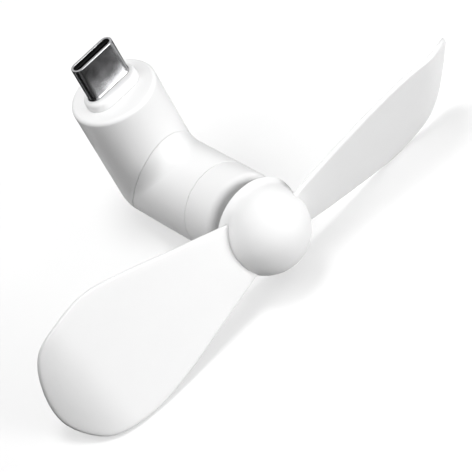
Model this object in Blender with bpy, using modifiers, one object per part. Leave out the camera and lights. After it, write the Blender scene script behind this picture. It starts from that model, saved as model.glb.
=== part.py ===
# Phone fan: a plug body and a motor head joined by a slanted swivel, with a two-blade soft rotor.
# The plug points up (+Z), the fan faces forward (-Y), and the plug is widest along X.
import math

import bmesh
import bpy
from mathutils import Matrix, Vector

MM = 0.001

# Clearances shared by every fit
SEAT_GAP = 0.2 * MM
RUN_GAP = 0.15 * MM
PRESS_GAP = 0.1 * MM
CUT_OVERRUN = 2.0 * MM
WELD_DISTANCE = 0.002 * MM

# Smoothness of round pieces
BODY_SIDES = 48
SMALL_SIDES = 24
FILLET_STEPS = 3
BEND_STEPS = 8
END_STEPS = 6
SHOE_END_STEPS = 3
SHOE_FACE_STEPS = 8
RING_STEPS = 3
SMOOTH_ANGLE = math.radians(35.0)

# Motor can, which the head is built round
MOTOR_RADIUS = 6.0 * MM
MOTOR_LENGTH = 13.5 * MM
MOTOR_BACK = 7.6 * MM
MOTOR_BORE = MOTOR_RADIUS + SEAT_GAP

# Body tube and elbow, both housings
HOUSING_SLEEVE = 1.1 * MM
BODY_RADIUS = MOTOR_BORE + HOUSING_SLEEVE
BODY_WALL = 1.6 * MM
ELBOW_BLEND = 3.2 * MM
SHOULDER_HEIGHT = 18.9 * MM
SHOULDER_FILLET = 0.7 * MM
TOP_WALL = 1.6 * MM
SEAM_SLANT = math.radians(30.0)
SEAM_OFFSET = 1.0 * MM
END_WALL = 1.2 * MM
CAVITY_RADIUS = BODY_RADIUS - BODY_WALL
CAVITY_BLEND = ELBOW_BLEND + BODY_WALL
SEAM_HALF_GAP = SEAT_GAP / 2

# Plug, to the USB-C standard
PLUG_WIDTH = 8.25 * MM
PLUG_THICKNESS = 2.4 * MM
PLUG_REACH = 6.65 * MM
PLUG_WALL = 0.2 * MM
PLUG_LIP = 0.12 * MM
PLUG_RIM = 0.62 * MM
PLUG_RIM_DEPTH = 0.5 * MM
PLUG_FLANGE = 0.12 * MM
PLUG_FLANGE_HEIGHT = 0.3 * MM
PLUG_BURIED = 4.6 * MM
TONGUE_SLOT_WIDTH = 6.75 * MM
TONGUE_SLOT_THICKNESS = 0.75 * MM
TONGUE_SLOT_DEPTH = 5.6 * MM
CONTACT_POSITIONS = 12
CONTACT_PINS = ("5", "9", "12")
CONTACT_PITCH = 0.5 * MM
CONTACT_WIDTH = 0.25 * MM
CONTACT_THICKNESS = 0.12 * MM
CONTACT_TAIL = 1.2 * MM
LATCH_THICKNESS = 0.15 * MM
LATCH_HEIGHT = 0.6 * MM

# Collar that carries the plug
COLLAR_HEIGHT = 1.56 * MM
COLLAR_HALF_WIDTH = 5.0 * MM
COLLAR_HALF_THICKNESS = 2.85 * MM
COLLAR_FILLET = 0.6 * MM
COLLAR_LEDGE = 0.45 * MM

# Board behind the plug
BOARD_WIDTH = 8.0 * MM
BOARD_LENGTH = 6.0 * MM
BOARD_THICKNESS = 0.8 * MM
RESISTOR_LENGTH = 1.0 * MM
RESISTOR_WIDTH = 0.5 * MM
RESISTOR_THICKNESS = 0.35 * MM
RESISTOR_SPREAD = 1.1 * MM
RESISTOR_DROP = 3.4 * MM

# Swivel between the housings; its radii are shares of the cavity that it sits in
RIVET_SHARE = 0.45
RIVET_BORE_SHARE = 0.3
RIVET_FLANGE_SHARE = 0.68
WASHER_SHARE = 0.74
RETAINER_SHARE = 0.65
STOP_CIRCLE_SHARE = 0.88
RIVET_RADIUS = CAVITY_RADIUS * RIVET_SHARE
RIVET_BORE = CAVITY_RADIUS * RIVET_BORE_SHARE
RIVET_FLANGE_RADIUS = CAVITY_RADIUS * RIVET_FLANGE_SHARE
RIVET_FLANGE_THICKNESS = 0.7 * MM
WASHER_RADIUS = CAVITY_RADIUS * WASHER_SHARE
WASHER_THICKNESS = 0.4 * MM
RETAINER_RADIUS = CAVITY_RADIUS * RETAINER_SHARE
RETAINER_THICKNESS = 0.8 * MM
STOP_CIRCLE = CAVITY_RADIUS * STOP_CIRCLE_SHARE
STOP_RADIUS = 0.5 * MM
STOP_REACH = 0.7 * MM
SWIVEL_RANGE = math.radians(180.0)

# Inside the motor; its magnets, poles and brushes are shares of the can's radius
MAGNET_SHARE = 0.18
CORE_RING_SHARE = 0.125
POLE_ARM_SHARE = 0.2
POLE_SHOE_SHARE = 0.1
BRUSH_SPAN_SHARE = 0.4
TERMINAL_SHARE = 0.6
CAN_WALL = 0.5 * MM
CAN_BORE = MOTOR_RADIUS - CAN_WALL
CAN_FACE_WALL = 0.6 * MM
BUSH_RADIUS = 1.5 * MM
BUSH_LENGTH = 1.4 * MM
BOSS_WALL = 0.35 * MM
BOSS_REACH = 1.1 * MM
BOSS_LIP = 0.25 * MM
SHAFT_RADIUS = 0.75 * MM
END_CAP_THICKNESS = 1.8 * MM
END_CAP_BOSS = 0.6 * MM
END_CAP_BOSS_WALL = 0.9 * MM
MAGNET_THICKNESS = MOTOR_RADIUS * MAGNET_SHARE
MAGNET_LENGTH = 6.5 * MM
MAGNET_ARC = math.radians(140.0)
AIR_GAP = 0.35 * MM
CORE_RADIUS = CAN_BORE - RUN_GAP - MAGNET_THICKNESS - AIR_GAP
CORE_LENGTH = 5.5 * MM
CORE_RING = MOTOR_RADIUS * CORE_RING_SHARE
POLE_COUNT = 3
POLE_ARM = MOTOR_RADIUS * POLE_ARM_SHARE
POLE_SHOE = MOTOR_RADIUS * POLE_SHOE_SHARE
POLE_SHOE_ARC = math.radians(100.0)
WINDING_BUILD = 0.7 * MM
WINDING_INSET = 0.15 * MM
SLEEVE_WALL = 0.3 * MM
SEGMENT_WALL = 0.3 * MM
SEGMENT_GAP_ANGLE = math.radians(12.0)
COMMUTATOR_LENGTH = 1.6 * MM
COMMUTATOR_CLEARANCE = 0.3 * MM
CORE_STANDOFF = 0.9 * MM
BRUSH_THICKNESS = 0.2 * MM
BRUSH_WIDTH = 0.9 * MM
BRUSH_HALF_SPAN = MOTOR_RADIUS * BRUSH_SPAN_SHARE
TERMINAL_PLACE = MOTOR_RADIUS * TERMINAL_SHARE
TERMINAL_THICKNESS = 0.3 * MM
TERMINAL_WIDTH = 1.2 * MM
TERMINAL_REACH = 1.6 * MM
SPACER_RADIUS = 1.4 * MM

# Front cover
COVER_SEAM = 16.05 * MM
COVER_FILLET = 1.3 * MM
COVER_FACE_WALL = 1.1 * MM
COVER_LIP_LENGTH = 2.4 * MM
COVER_LIP_WALL = 0.45 * MM

# Hub
HUB_GAP = 2.6 * MM
DOME_RADIUS = 7.27 * MM
DOME_WALL = 1.2 * MM
DOME_SKIRT = 2.0 * MM
SKIRT_FLARE = 0.63 * MM
SKIRT_STEPS = 3
DOME_STEPS = 8
HUB_PLATE_THICKNESS = 1.0 * MM
HUB_BOSS_RADIUS = 2.6 * MM
HUB_BOSS_REACH = 5.2 * MM
SHAFT_GRIP = 4.6 * MM

# Blades
BLADE_THICKNESS = 0.9 * MM
BLADE_EDGE = 0.3 * MM
BLADE_TIP_RADIUS = 11.0 * MM
BLADE_TIP_CENTRE = 31.6 * MM
BLADE_TIP_OFFSET = 2.0 * MM
BLADE_TIP_SHARES = (1.20, 1.03, 0.99, 1.08, 1.06, 1.10, 1.07, 0.94, 0.96, 1.20)
BLADE_TIP_START = math.radians(-135.0)
BLADE_TIP_STEPS = 3
BLADE_LEAD_WIDTH = 3.1 * MM
BLADE_TRAIL_WIDTH = 5.0 * MM
BLADE_PITCH = math.radians(21.7)
BLADE_TWIST = math.radians(5.9)
BLADE_TWIST_START = 12.0 * MM
BLADE_TWIST_CUTS = 4
BLADE_FORWARD = 1.2 * MM
BLADE_REST_TURN = math.radians(1.7)
BLADE_CURL_START = 34.6 * MM
BLADE_CURL_DROP = 3.2 * MM
BLADE_CURL_CUTS = 5
SLOT_REACH = 12.0 * MM

# Leads
LEAD_RADIUS = 0.4 * MM
LEAD_SPREAD = 0.6 * MM
BOARD_LEAD_SPREAD = 2.6 * MM
LEAD_LAP = 0.9 * MM

# Places that follow from the sizes
COLLAR_TOP = SHOULDER_HEIGHT + COLLAR_HEIGHT
PLUG_TIP = COLLAR_TOP + PLUG_REACH
PLUG_BOTTOM = COLLAR_TOP - PLUG_BURIED
MOTOR_FRONT = MOTOR_BACK + MOTOR_LENGTH
BOSS_FRONT = MOTOR_FRONT + BOSS_REACH
BOSS_RADIUS = BUSH_RADIUS + RUN_GAP + BOSS_WALL
COVER_INSIDE = MOTOR_FRONT + SEAT_GAP
COVER_FACE = COVER_INSIDE + COVER_FACE_WALL
HUB_BACK = COVER_FACE + HUB_GAP
DOME_CENTRE = HUB_BACK + DOME_SKIRT
BLADE_PLACE = DOME_CENTRE + BLADE_FORWARD
SHAFT_BORE = SHAFT_RADIUS + PRESS_GAP
SHAFT_HOLE = SHAFT_RADIUS + SEAT_GAP + RUN_GAP
BUSH_POCKET = BUSH_RADIUS + RUN_GAP
END_CAP_FRONT = MOTOR_BACK + END_CAP_THICKNESS
COMMUTATOR_BACK = END_CAP_FRONT + COMMUTATOR_CLEARANCE
COMMUTATOR_FRONT = COMMUTATOR_BACK + COMMUTATOR_LENGTH
CORE_BACK = COMMUTATOR_FRONT + CORE_STANDOFF
CORE_FRONT = CORE_BACK + CORE_LENGTH
CORE_MIDDLE = (CORE_BACK + CORE_FRONT) / 2
SLEEVE_OUTER = SHAFT_BORE + SLEEVE_WALL
SEGMENT_INNER = SLEEVE_OUTER + PRESS_GAP
SEGMENT_OUTER = SEGMENT_INNER + SEGMENT_WALL
BOARD_TOP = PLUG_BOTTOM - SEAT_GAP
BOARD_BOTTOM = BOARD_TOP - BOARD_LENGTH

# Materials: colour, roughness, metallic
FINISHES = {
    "white_shell": ((0.86, 0.86, 0.86), 0.45, 0.0),
    "soft_white": ((0.84, 0.84, 0.84), 0.6, 0.0),
    "plug_steel": ((0.55, 0.55, 0.56), 0.25, 1.0),
    "black_plastic": ((0.02, 0.02, 0.02), 0.5, 0.0),
    "contact_gold": ((0.83, 0.62, 0.25), 0.3, 1.0),
    "board_green": ((0.03, 0.16, 0.08), 0.5, 0.0),
    "bronze": ((0.55, 0.36, 0.18), 0.4, 1.0),
    "bright_steel": ((0.62, 0.62, 0.62), 0.3, 1.0),
    "magnet_grey": ((0.09, 0.09, 0.10), 0.6, 0.2),
    "copper": ((0.70, 0.33, 0.17), 0.35, 1.0),
    "cream_plastic": ((0.62, 0.60, 0.54), 0.5, 0.0),
    "red_lead": ((0.55, 0.03, 0.03), 0.5, 0.0),
    "black_lead": ((0.02, 0.02, 0.02), 0.5, 0.0),
}


def clear_scene():
    for obj in list(bpy.data.objects):
        bpy.data.objects.remove(obj, do_unlink=True)


def new_collection(name):
    collection = bpy.data.collections.new(name)
    bpy.context.scene.collection.children.link(collection)
    return collection


def finish(name):
    material = bpy.data.materials.get(name)
    if material is None:
        colour, roughness, metallic = FINISHES[name]
        material = bpy.data.materials.new(name)
        material.use_nodes = True
        shader = material.node_tree.nodes["Principled BSDF"]
        shader.inputs["Base Color"].default_value = (*colour, 1.0)
        shader.inputs["Roughness"].default_value = roughness
        shader.inputs["Metallic"].default_value = metallic
    return material


def add_object(name, mesh, frame, look=None):
    """Link a mesh as a part, or as a cutter when it has no look."""
    obj = bpy.data.objects.new(name, mesh)
    obj.parent = frame
    if look is None:
        CUTTERS.objects.link(obj)
        obj.hide_render = True
        obj.display_type = "WIRE"
    else:
        PARTS.objects.link(obj)
        if not mesh.materials:
            mesh.materials.append(finish(look))
        mesh.shade_smooth()
        mesh.set_sharp_from_angle(angle=SMOOTH_ANGLE)
    return obj


def mesh_from(bm, name):
    mesh = bpy.data.meshes.new(name)
    bm.to_mesh(mesh)
    bm.free()
    return mesh


def boolean(target, tool, operation):
    modifier = target.modifiers.new(operation.lower() + "_" + tool.name, "BOOLEAN")
    modifier.operation = operation
    modifier.object = tool
    modifier.solver = "EXACT"


def turned(name, profile, frame, look=None, sides=BODY_SIDES):
    """Turn a profile of (radius, height) points, listed down its outer side, about local Z."""
    bm = bmesh.new()
    points = [bm.verts.new((radius, 0, height)) for radius, height in profile]
    for start, end in zip(points, points[1:] + points[:1]):
        bm.edges.new((start, end))
    obj = add_object(name, mesh_from(bm, name), frame, look)
    screw = obj.modifiers.new("turn", "SCREW")
    screw.axis = "Z"
    screw.steps = sides
    screw.render_steps = sides
    screw.use_merge_vertices = True
    screw.merge_threshold = WELD_DISTANCE
    screw.use_normal_calculate = False
    return obj


def tube_profile(outer, inner, bottom, top):
    return [(outer, top), (outer, bottom), (inner, bottom), (inner, top)]


def disc(name, radius, bottom, top, frame, look=None, sides=SMALL_SIDES):
    bm = bmesh.new()
    bmesh.ops.create_cone(bm, cap_ends=True, segments=sides, radius1=radius, radius2=radius, depth=top - bottom)
    bmesh.ops.translate(bm, verts=bm.verts, vec=(0, 0, (top + bottom) / 2))
    return add_object(name, mesh_from(bm, name), frame, look)


def box(name, size, centre, frame, look=None):
    bm = bmesh.new()
    bmesh.ops.create_cube(bm, size=1.0)
    bmesh.ops.scale(bm, verts=bm.verts, vec=size)
    bmesh.ops.translate(bm, verts=bm.verts, vec=centre)
    return add_object(name, mesh_from(bm, name), frame, look)


def racetrack(half_width, half_thickness):
    """Round-ended outline in X and Y, anticlockwise."""
    straight = half_width - half_thickness
    outline = []
    for side in (1, -1):
        for step in range(END_STEPS + 1):
            angle = math.pi * step / END_STEPS - math.pi / 2
            if side < 0:
                angle += math.pi
            outline.append((side * straight + half_thickness * math.cos(angle), half_thickness * math.sin(angle)))
    return outline


def racetrack_stack(name, sections, frame, look=None, hollow=False):
    """Join racetrack outlines (half width, half thickness, height) in order, from the bottom up the outside."""
    bm = bmesh.new()
    rings = []
    for half_width, half_thickness, height in sections:
        outline = racetrack(half_width, half_thickness)
        rings.append([bm.verts.new((x, y, height)) for x, y in outline])
    pairs = list(zip(rings, rings[1:]))
    if hollow:
        pairs.append((rings[-1], rings[0]))
    else:
        bm.faces.new(list(reversed(rings[0])))
        bm.faces.new(rings[-1])
    for lower, upper in pairs:
        for index in range(len(lower)):
            following = (index + 1) % len(lower)
            bm.faces.new((lower[index], lower[following], upper[following], upper[index]))
    return add_object(name, mesh_from(bm, name), frame, look)


def flat_outline(name, outlines, thickness, height, frame, look=None):
    """Extrude a flat outline, with any further outlines as holes, from height up by thickness."""
    curve = bpy.data.curves.new(name, "CURVE")
    curve.dimensions = "2D"
    curve.fill_mode = "BOTH"
    curve.extrude = thickness / 2
    for outline in outlines:
        spline = curve.splines.new("POLY")
        spline.points.add(len(outline[1:]))
        for point, (x, y) in zip(spline.points, outline):
            point.co = (x, y, 0, 1)
        spline.use_cyclic_u = True
    guide = bpy.data.objects.new(name + "_outline", curve)
    bpy.context.scene.collection.objects.link(guide)
    mesh = solid_from_curve(guide, name)
    mesh.transform(Matrix.Translation((0, 0, height + thickness / 2)))
    return add_object(name, mesh, frame, look)


def solid_from_curve(guide, name):
    """Make a curve's filled body one welded mesh and remove the curve."""
    bpy.context.view_layer.update()
    evaluated = guide.evaluated_get(bpy.context.evaluated_depsgraph_get())
    mesh = bpy.data.meshes.new_from_object(evaluated)
    mesh.name = name
    bm = bmesh.new()
    bm.from_mesh(mesh)
    bmesh.ops.remove_doubles(bm, verts=bm.verts, dist=WELD_DISTANCE)
    bmesh.ops.recalc_face_normals(bm, faces=bm.faces)
    bm.to_mesh(mesh)
    bm.free()
    mesh.transform(guide.matrix_world)
    mesh.materials.clear()
    bpy.data.objects.remove(guide, do_unlink=True)
    return mesh


def arc_points(radius, start, end, steps, centre=(0, 0)):
    points = []
    for step in range(steps + 1):
        angle = start + (end - start) * step / steps
        points.append((centre[0] + radius * math.cos(angle), centre[1] + radius * math.sin(angle)))
    return points


# Elbow

def straight_ring(radius, along):
    """Ring of the plug tube: forward is -Y, up is Z."""
    ring = []
    for side in range(BODY_SIDES):
        angle = math.tau * side / BODY_SIDES
        ring.append(Vector((radius * math.sin(angle), -radius * math.cos(angle), along)))
    return ring


def elbow_ring(radius, inner, outer):
    """Ring round the bend, from the inner and outer points of its middle section (forward, up)."""
    ring = []
    for side in range(BODY_SIDES):
        angle = math.tau * side / BODY_SIDES
        share = math.cos(angle)
        forward, up = inner if share > 0 else outer
        ring.append(Vector((radius * math.sin(angle), -abs(share) * forward, abs(share) * up)))
    return ring


def head_ring(radius, along):
    ring = []
    for side in range(BODY_SIDES):
        angle = math.tau * side / BODY_SIDES
        ring.append(Vector((radius * math.sin(angle), -along, radius * math.cos(angle))))
    return ring


def elbow_solid(radius, blend, top, front, fillet=0.0):
    """Plug tube, ball corner with a blended inside, and head tube, as one closed body."""
    bm = bmesh.new()
    rings = []
    if fillet > 0:
        for step in range(FILLET_STEPS):
            turn = math.pi / 2 * (FILLET_STEPS - step) / FILLET_STEPS
            out = fillet * math.cos(turn)
            up = fillet * math.sin(turn)
            rings.append(straight_ring(radius - fillet + out, top - fillet + up))
    rings.append(straight_ring(radius, top - fillet))
    corner = radius + blend
    for step in range(BEND_STEPS + 1):
        turn = math.pi + math.pi / 2 * step / BEND_STEPS
        inner = (corner + blend * math.cos(turn), corner + blend * math.sin(turn))
        outer = (radius * math.cos(turn), radius * math.sin(turn))
        rings.append(elbow_ring(radius, inner, outer))
    rings.append(head_ring(radius, front))
    made = [[bm.verts.new(point) for point in ring] for ring in rings]
    bm.faces.new(made[0])
    bm.faces.new(list(reversed(made[-1])))
    for near, far in zip(made, made[1:]):
        for side in range(BODY_SIDES):
            following = (side + 1) % BODY_SIDES
            bm.faces.new((near[side], far[side], far[following], near[following]))
    bmesh.ops.remove_doubles(bm, verts=bm.verts, dist=WELD_DISTANCE)
    bmesh.ops.recalc_face_normals(bm, faces=bm.faces)
    return bm


def cut_at_seam(bm, offset, keep_head):
    """Cut the elbow by the slanted plane and close the cut."""
    place = SWIVEL_AXIS * offset
    bmesh.ops.bisect_plane(
        bm, geom=bm.verts[:] + bm.edges[:] + bm.faces[:], dist=WELD_DISTANCE / 4, plane_co=place,
        plane_no=SWIVEL_AXIS, clear_inner=keep_head, clear_outer=not keep_head)
    bmesh.ops.remove_doubles(bm, verts=bm.verts, dist=WELD_DISTANCE)
    open_edges = [edge for edge in bm.edges if edge.is_boundary]
    bmesh.ops.contextual_create(bm, geom=open_edges)
    bmesh.ops.recalc_face_normals(bm, faces=bm.faces)


def elbow_part(name, radius, blend, top, front, offset, keep_head, look=None, fillet=0.0):
    bm = elbow_solid(radius, blend, top, front, fillet)
    cut_at_seam(bm, offset, keep_head)
    return add_object(name, mesh_from(bm, name), WORLD_FRAME, look)


# Frames: empties on the joint axes

def new_frame(name, matrix, parent=None):
    frame = bpy.data.objects.new(name, None)
    frame.empty_display_size = BODY_RADIUS
    bpy.context.scene.collection.objects.link(frame)
    frame.parent = parent
    frame.matrix_local = matrix
    return frame


# Plug side

def build_plug():
    half_width = PLUG_WIDTH / 2
    half_thickness = PLUG_THICKNESS / 2
    inner_width = half_width - PLUG_WALL
    inner_thickness = half_thickness - PLUG_WALL
    flange_top = COLLAR_TOP + SEAT_GAP + PLUG_FLANGE_HEIGHT
    flange_bottom = COLLAR_TOP + SEAT_GAP
    racetrack_stack("plug_shell", [
        (half_width, half_thickness, PLUG_BOTTOM),
        (half_width, half_thickness, flange_bottom),
        (half_width + PLUG_FLANGE, half_thickness + PLUG_FLANGE, flange_bottom),
        (half_width + PLUG_FLANGE, half_thickness + PLUG_FLANGE, flange_top),
        (half_width, half_thickness, flange_top),
        (half_width, half_thickness, PLUG_TIP - PLUG_LIP),
        (half_width - PLUG_LIP, half_thickness - PLUG_LIP, PLUG_TIP),
        (half_width - PLUG_RIM, half_thickness - PLUG_RIM, PLUG_TIP),
        (half_width - PLUG_RIM, half_thickness - PLUG_RIM, PLUG_TIP - PLUG_RIM_DEPTH),
        (inner_width, inner_thickness, PLUG_TIP - PLUG_RIM_DEPTH),
        (inner_width, inner_thickness, PLUG_BOTTOM),
    ], WORLD_FRAME, "plug_steel", hollow=True)

    liner = racetrack_stack("plug_insulator", [
        (inner_width - PRESS_GAP, inner_thickness - PRESS_GAP, PLUG_BOTTOM),
        (inner_width - PRESS_GAP, inner_thickness - PRESS_GAP, PLUG_TIP - PLUG_RIM_DEPTH - PRESS_GAP),
    ], WORLD_FRAME, "black_plastic")
    slot_floor = PLUG_TIP - TONGUE_SLOT_DEPTH
    slot_height = TONGUE_SLOT_DEPTH + CUT_OVERRUN
    slot = box("tongue_slot", (TONGUE_SLOT_WIDTH, TONGUE_SLOT_THICKNESS, slot_height),
               (0, 0, slot_floor + slot_height / 2), WORLD_FRAME)
    boolean(liner, slot, "DIFFERENCE")

    contact_place = TONGUE_SLOT_THICKNESS / 2 + CONTACT_THICKNESS / 2
    contact_bottom = BOARD_TOP - CONTACT_TAIL
    contact_top = PLUG_TIP - PLUG_WALL - CONTACT_TAIL
    for row, side in (("a", -1), ("b", 1)):
        for pin in CONTACT_PINS:
            across = -side * (int(pin) - (CONTACT_POSITIONS + 1) / 2) * CONTACT_PITCH
            name = row + pin
            groove_bottom = contact_bottom - CUT_OVERRUN
            groove_top = contact_top + PRESS_GAP
            groove = box("groove_" + name, (CONTACT_WIDTH + 2 * PRESS_GAP, CONTACT_THICKNESS + 2 * PRESS_GAP,
                                            groove_top - groove_bottom),
                         (across, side * contact_place, (groove_top + groove_bottom) / 2), WORLD_FRAME)
            boolean(liner, groove, "DIFFERENCE")
            box("contact_" + name, (CONTACT_WIDTH, CONTACT_THICKNESS, contact_top - contact_bottom),
                (across, side * contact_place, (contact_top + contact_bottom) / 2), WORLD_FRAME, "contact_gold")

    arm_place = TONGUE_SLOT_WIDTH / 2 + PRESS_GAP + LATCH_THICKNESS / 2
    plate_middle = (PLUG_BOTTOM + slot_floor) / 2
    latch_top = PLUG_TIP - PLUG_WALL - CONTACT_TAIL
    latch_outline = [
        (-arm_place - LATCH_THICKNESS / 2, latch_top), (-arm_place - LATCH_THICKNESS / 2, plate_middle),
        (arm_place + LATCH_THICKNESS / 2, plate_middle), (arm_place + LATCH_THICKNESS / 2, latch_top),
        (arm_place - LATCH_THICKNESS / 2, latch_top),
        (arm_place - LATCH_THICKNESS / 2, plate_middle + LATCH_HEIGHT),
        (-arm_place + LATCH_THICKNESS / 2, plate_middle + LATCH_HEIGHT),
        (-arm_place + LATCH_THICKNESS / 2, latch_top),
    ]
    flat_outline("latch_plate", [latch_outline], LATCH_THICKNESS, -LATCH_THICKNESS / 2, UPRIGHT_FRAME,
                 "bright_steel")
    room = LATCH_THICKNESS + 2 * PRESS_GAP
    bottom = plate_middle - PRESS_GAP
    top = latch_top + PRESS_GAP
    for name, place in (("latch_slot_left", -arm_place), ("latch_slot_right", arm_place)):
        cutter = box(name, (room, room, top - bottom), (place, 0, (top + bottom) / 2), WORLD_FRAME)
        boolean(liner, cutter, "DIFFERENCE")
    web = box("latch_slot_web", (2 * arm_place + LATCH_THICKNESS, room, LATCH_HEIGHT + 2 * PRESS_GAP),
              (0, 0, plate_middle + LATCH_HEIGHT / 2), WORLD_FRAME)
    boolean(liner, web, "DIFFERENCE")


def build_collar():
    stem_width = COLLAR_HALF_WIDTH - COLLAR_LEDGE
    stem_thickness = COLLAR_HALF_THICKNESS - COLLAR_LEDGE
    seat = SHOULDER_HEIGHT + SEAT_GAP
    edge = COLLAR_FILLET / 3
    collar = racetrack_stack("plug_collar", [
        (stem_width, stem_thickness, PLUG_BOTTOM + SEAT_GAP),
        (stem_width, stem_thickness, seat),
        (COLLAR_HALF_WIDTH, COLLAR_HALF_THICKNESS, seat),
        (COLLAR_HALF_WIDTH, COLLAR_HALF_THICKNESS, COLLAR_TOP - COLLAR_FILLET),
        (COLLAR_HALF_WIDTH - edge, COLLAR_HALF_THICKNESS - edge, COLLAR_TOP - edge),
        (COLLAR_HALF_WIDTH - COLLAR_FILLET, COLLAR_HALF_THICKNESS - COLLAR_FILLET, COLLAR_TOP),
    ], WORLD_FRAME, "white_shell")
    bore = racetrack_stack("collar_bore", [
        (PLUG_WIDTH / 2 + SEAT_GAP, PLUG_THICKNESS / 2 + SEAT_GAP, PLUG_BOTTOM - CUT_OVERRUN),
        (PLUG_WIDTH / 2 + SEAT_GAP, PLUG_THICKNESS / 2 + SEAT_GAP, COLLAR_TOP + CUT_OVERRUN),
    ], WORLD_FRAME)
    boolean(collar, bore, "DIFFERENCE")


def build_plug_housing():
    seam = SEAM_OFFSET - SEAM_HALF_GAP
    front = BODY_RADIUS + ELBOW_BLEND + MOTOR_BACK
    housing = elbow_part("plug_housing", BODY_RADIUS, ELBOW_BLEND, SHOULDER_HEIGHT, front, seam, False,
                         "white_shell", SHOULDER_FILLET)
    cavity = elbow_part("plug_cavity", CAVITY_RADIUS, CAVITY_BLEND, SHOULDER_HEIGHT - TOP_WALL, front,
                        seam - END_WALL, False)
    boolean(housing, cavity, "DIFFERENCE")
    mouth = racetrack_stack("collar_mouth", [
        (COLLAR_HALF_WIDTH - COLLAR_LEDGE + SEAT_GAP, COLLAR_HALF_THICKNESS - COLLAR_LEDGE + SEAT_GAP,
         SHOULDER_HEIGHT - TOP_WALL - CUT_OVERRUN),
        (COLLAR_HALF_WIDTH - COLLAR_LEDGE + SEAT_GAP, COLLAR_HALF_THICKNESS - COLLAR_LEDGE + SEAT_GAP,
         SHOULDER_HEIGHT + CUT_OVERRUN),
    ], WORLD_FRAME)
    boolean(housing, mouth, "DIFFERENCE")
    rivet_hole = disc("rivet_hole_plug_side", RIVET_RADIUS + RUN_GAP, -SEAM_HALF_GAP - END_WALL - CUT_OVERRUN / 2,
                      CUT_OVERRUN, SWIVEL_FRAME, sides=BODY_SIDES)
    boolean(housing, rivet_hole, "DIFFERENCE")
    boolean(housing, stop_groove(), "DIFFERENCE")


def stop_groove():
    """Arc groove that lets the stop pin run over the swivel's range."""
    half_width = STOP_RADIUS + RUN_GAP
    slack = half_width / STOP_CIRCLE
    start = -math.pi / 2 - slack
    end = -math.pi / 2 + SWIVEL_RANGE + slack
    outline = arc_points(STOP_CIRCLE + half_width, start, end, BODY_SIDES // 2)
    outline += arc_points(STOP_CIRCLE - half_width, end, start, BODY_SIDES // 2)
    depth = STOP_REACH + SEAT_GAP
    return flat_outline("stop_groove", [outline], depth + CUT_OVERRUN / 2, -depth, SWIVEL_FRAME)


def build_board():
    box("plug_board", (BOARD_WIDTH, BOARD_THICKNESS, BOARD_LENGTH),
        (0, 0, (BOARD_TOP + BOARD_BOTTOM) / 2), WORLD_FRAME, "board_green")
    behind = (BOARD_THICKNESS + RESISTOR_THICKNESS) / 2 + SEAT_GAP
    for side, name in ((-1, "left"), (1, "right")):
        place = (side * RESISTOR_SPREAD, behind, BOARD_TOP - RESISTOR_DROP)
        box("resistor_" + name, (RESISTOR_WIDTH, RESISTOR_THICKNESS, RESISTOR_LENGTH), place, WORLD_FRAME,
            "black_plastic")


# Swivel

def build_swivel():
    flange_bottom = SEAM_HALF_GAP + END_WALL + SEAT_GAP
    flange_top = flange_bottom + RIVET_FLANGE_THICKNESS
    washer_top = -SEAM_HALF_GAP - END_WALL - SEAT_GAP
    washer_bottom = washer_top - WASHER_THICKNESS
    retainer_top = washer_bottom - SEAT_GAP
    retainer_bottom = retainer_top - RETAINER_THICKNESS
    turned("swivel_rivet", [
        (RIVET_FLANGE_RADIUS, flange_top), (RIVET_FLANGE_RADIUS, flange_bottom), (RIVET_RADIUS, flange_bottom),
        (RIVET_RADIUS, retainer_bottom), (RIVET_BORE, retainer_bottom), (RIVET_BORE, flange_top),
    ], SWIVEL_FRAME, "bright_steel")
    turned("swivel_washer", tube_profile(WASHER_RADIUS, RIVET_RADIUS + RUN_GAP, washer_bottom, washer_top),
           SWIVEL_FRAME, "cream_plastic")
    retainer = tube_profile(RETAINER_RADIUS, RIVET_RADIUS + PRESS_GAP, retainer_bottom, retainer_top)
    turned("swivel_retainer", retainer, SWIVEL_FRAME, "bright_steel")


# Head

def build_head_housing():
    seam = SEAM_OFFSET + SEAM_HALF_GAP
    top = BODY_RADIUS + ELBOW_BLEND + MOTOR_BACK
    front = COVER_SEAM - SEAM_HALF_GAP
    housing = elbow_part("head_housing", BODY_RADIUS, ELBOW_BLEND, top, front, seam, True, "white_shell")
    past = front + CUT_OVERRUN
    cavity = elbow_part("head_cavity", CAVITY_RADIUS, CAVITY_BLEND, top, past, seam + END_WALL, True)
    boolean(housing, cavity, "DIFFERENCE")
    bore = disc("motor_bore", MOTOR_BORE, MOTOR_BACK - SEAT_GAP, past, HEAD_FRAME, sides=BODY_SIDES)
    boolean(housing, bore, "DIFFERENCE")
    lip_room = disc("cover_lip_room", MOTOR_BORE + COVER_LIP_WALL + PRESS_GAP,
                    COVER_SEAM - COVER_LIP_LENGTH - SEAT_GAP, past, HEAD_FRAME, sides=BODY_SIDES)
    boolean(housing, lip_room, "DIFFERENCE")
    rivet_hole = disc("rivet_hole_head_side", RIVET_RADIUS + PRESS_GAP, -CUT_OVERRUN / 2,
                      SEAM_HALF_GAP + END_WALL + CUT_OVERRUN / 2, SWIVEL_FRAME, sides=BODY_SIDES)
    boolean(housing, rivet_hole, "DIFFERENCE")
    pin = disc("stop_pin", STOP_RADIUS, -STOP_REACH, SEAM_HALF_GAP + END_WALL / 2, SWIVEL_FRAME,
               sides=SMALL_SIDES // 2)
    pin.data.transform(Matrix.Translation((0, -STOP_CIRCLE, 0)))
    boolean(housing, pin, "UNION")


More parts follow.
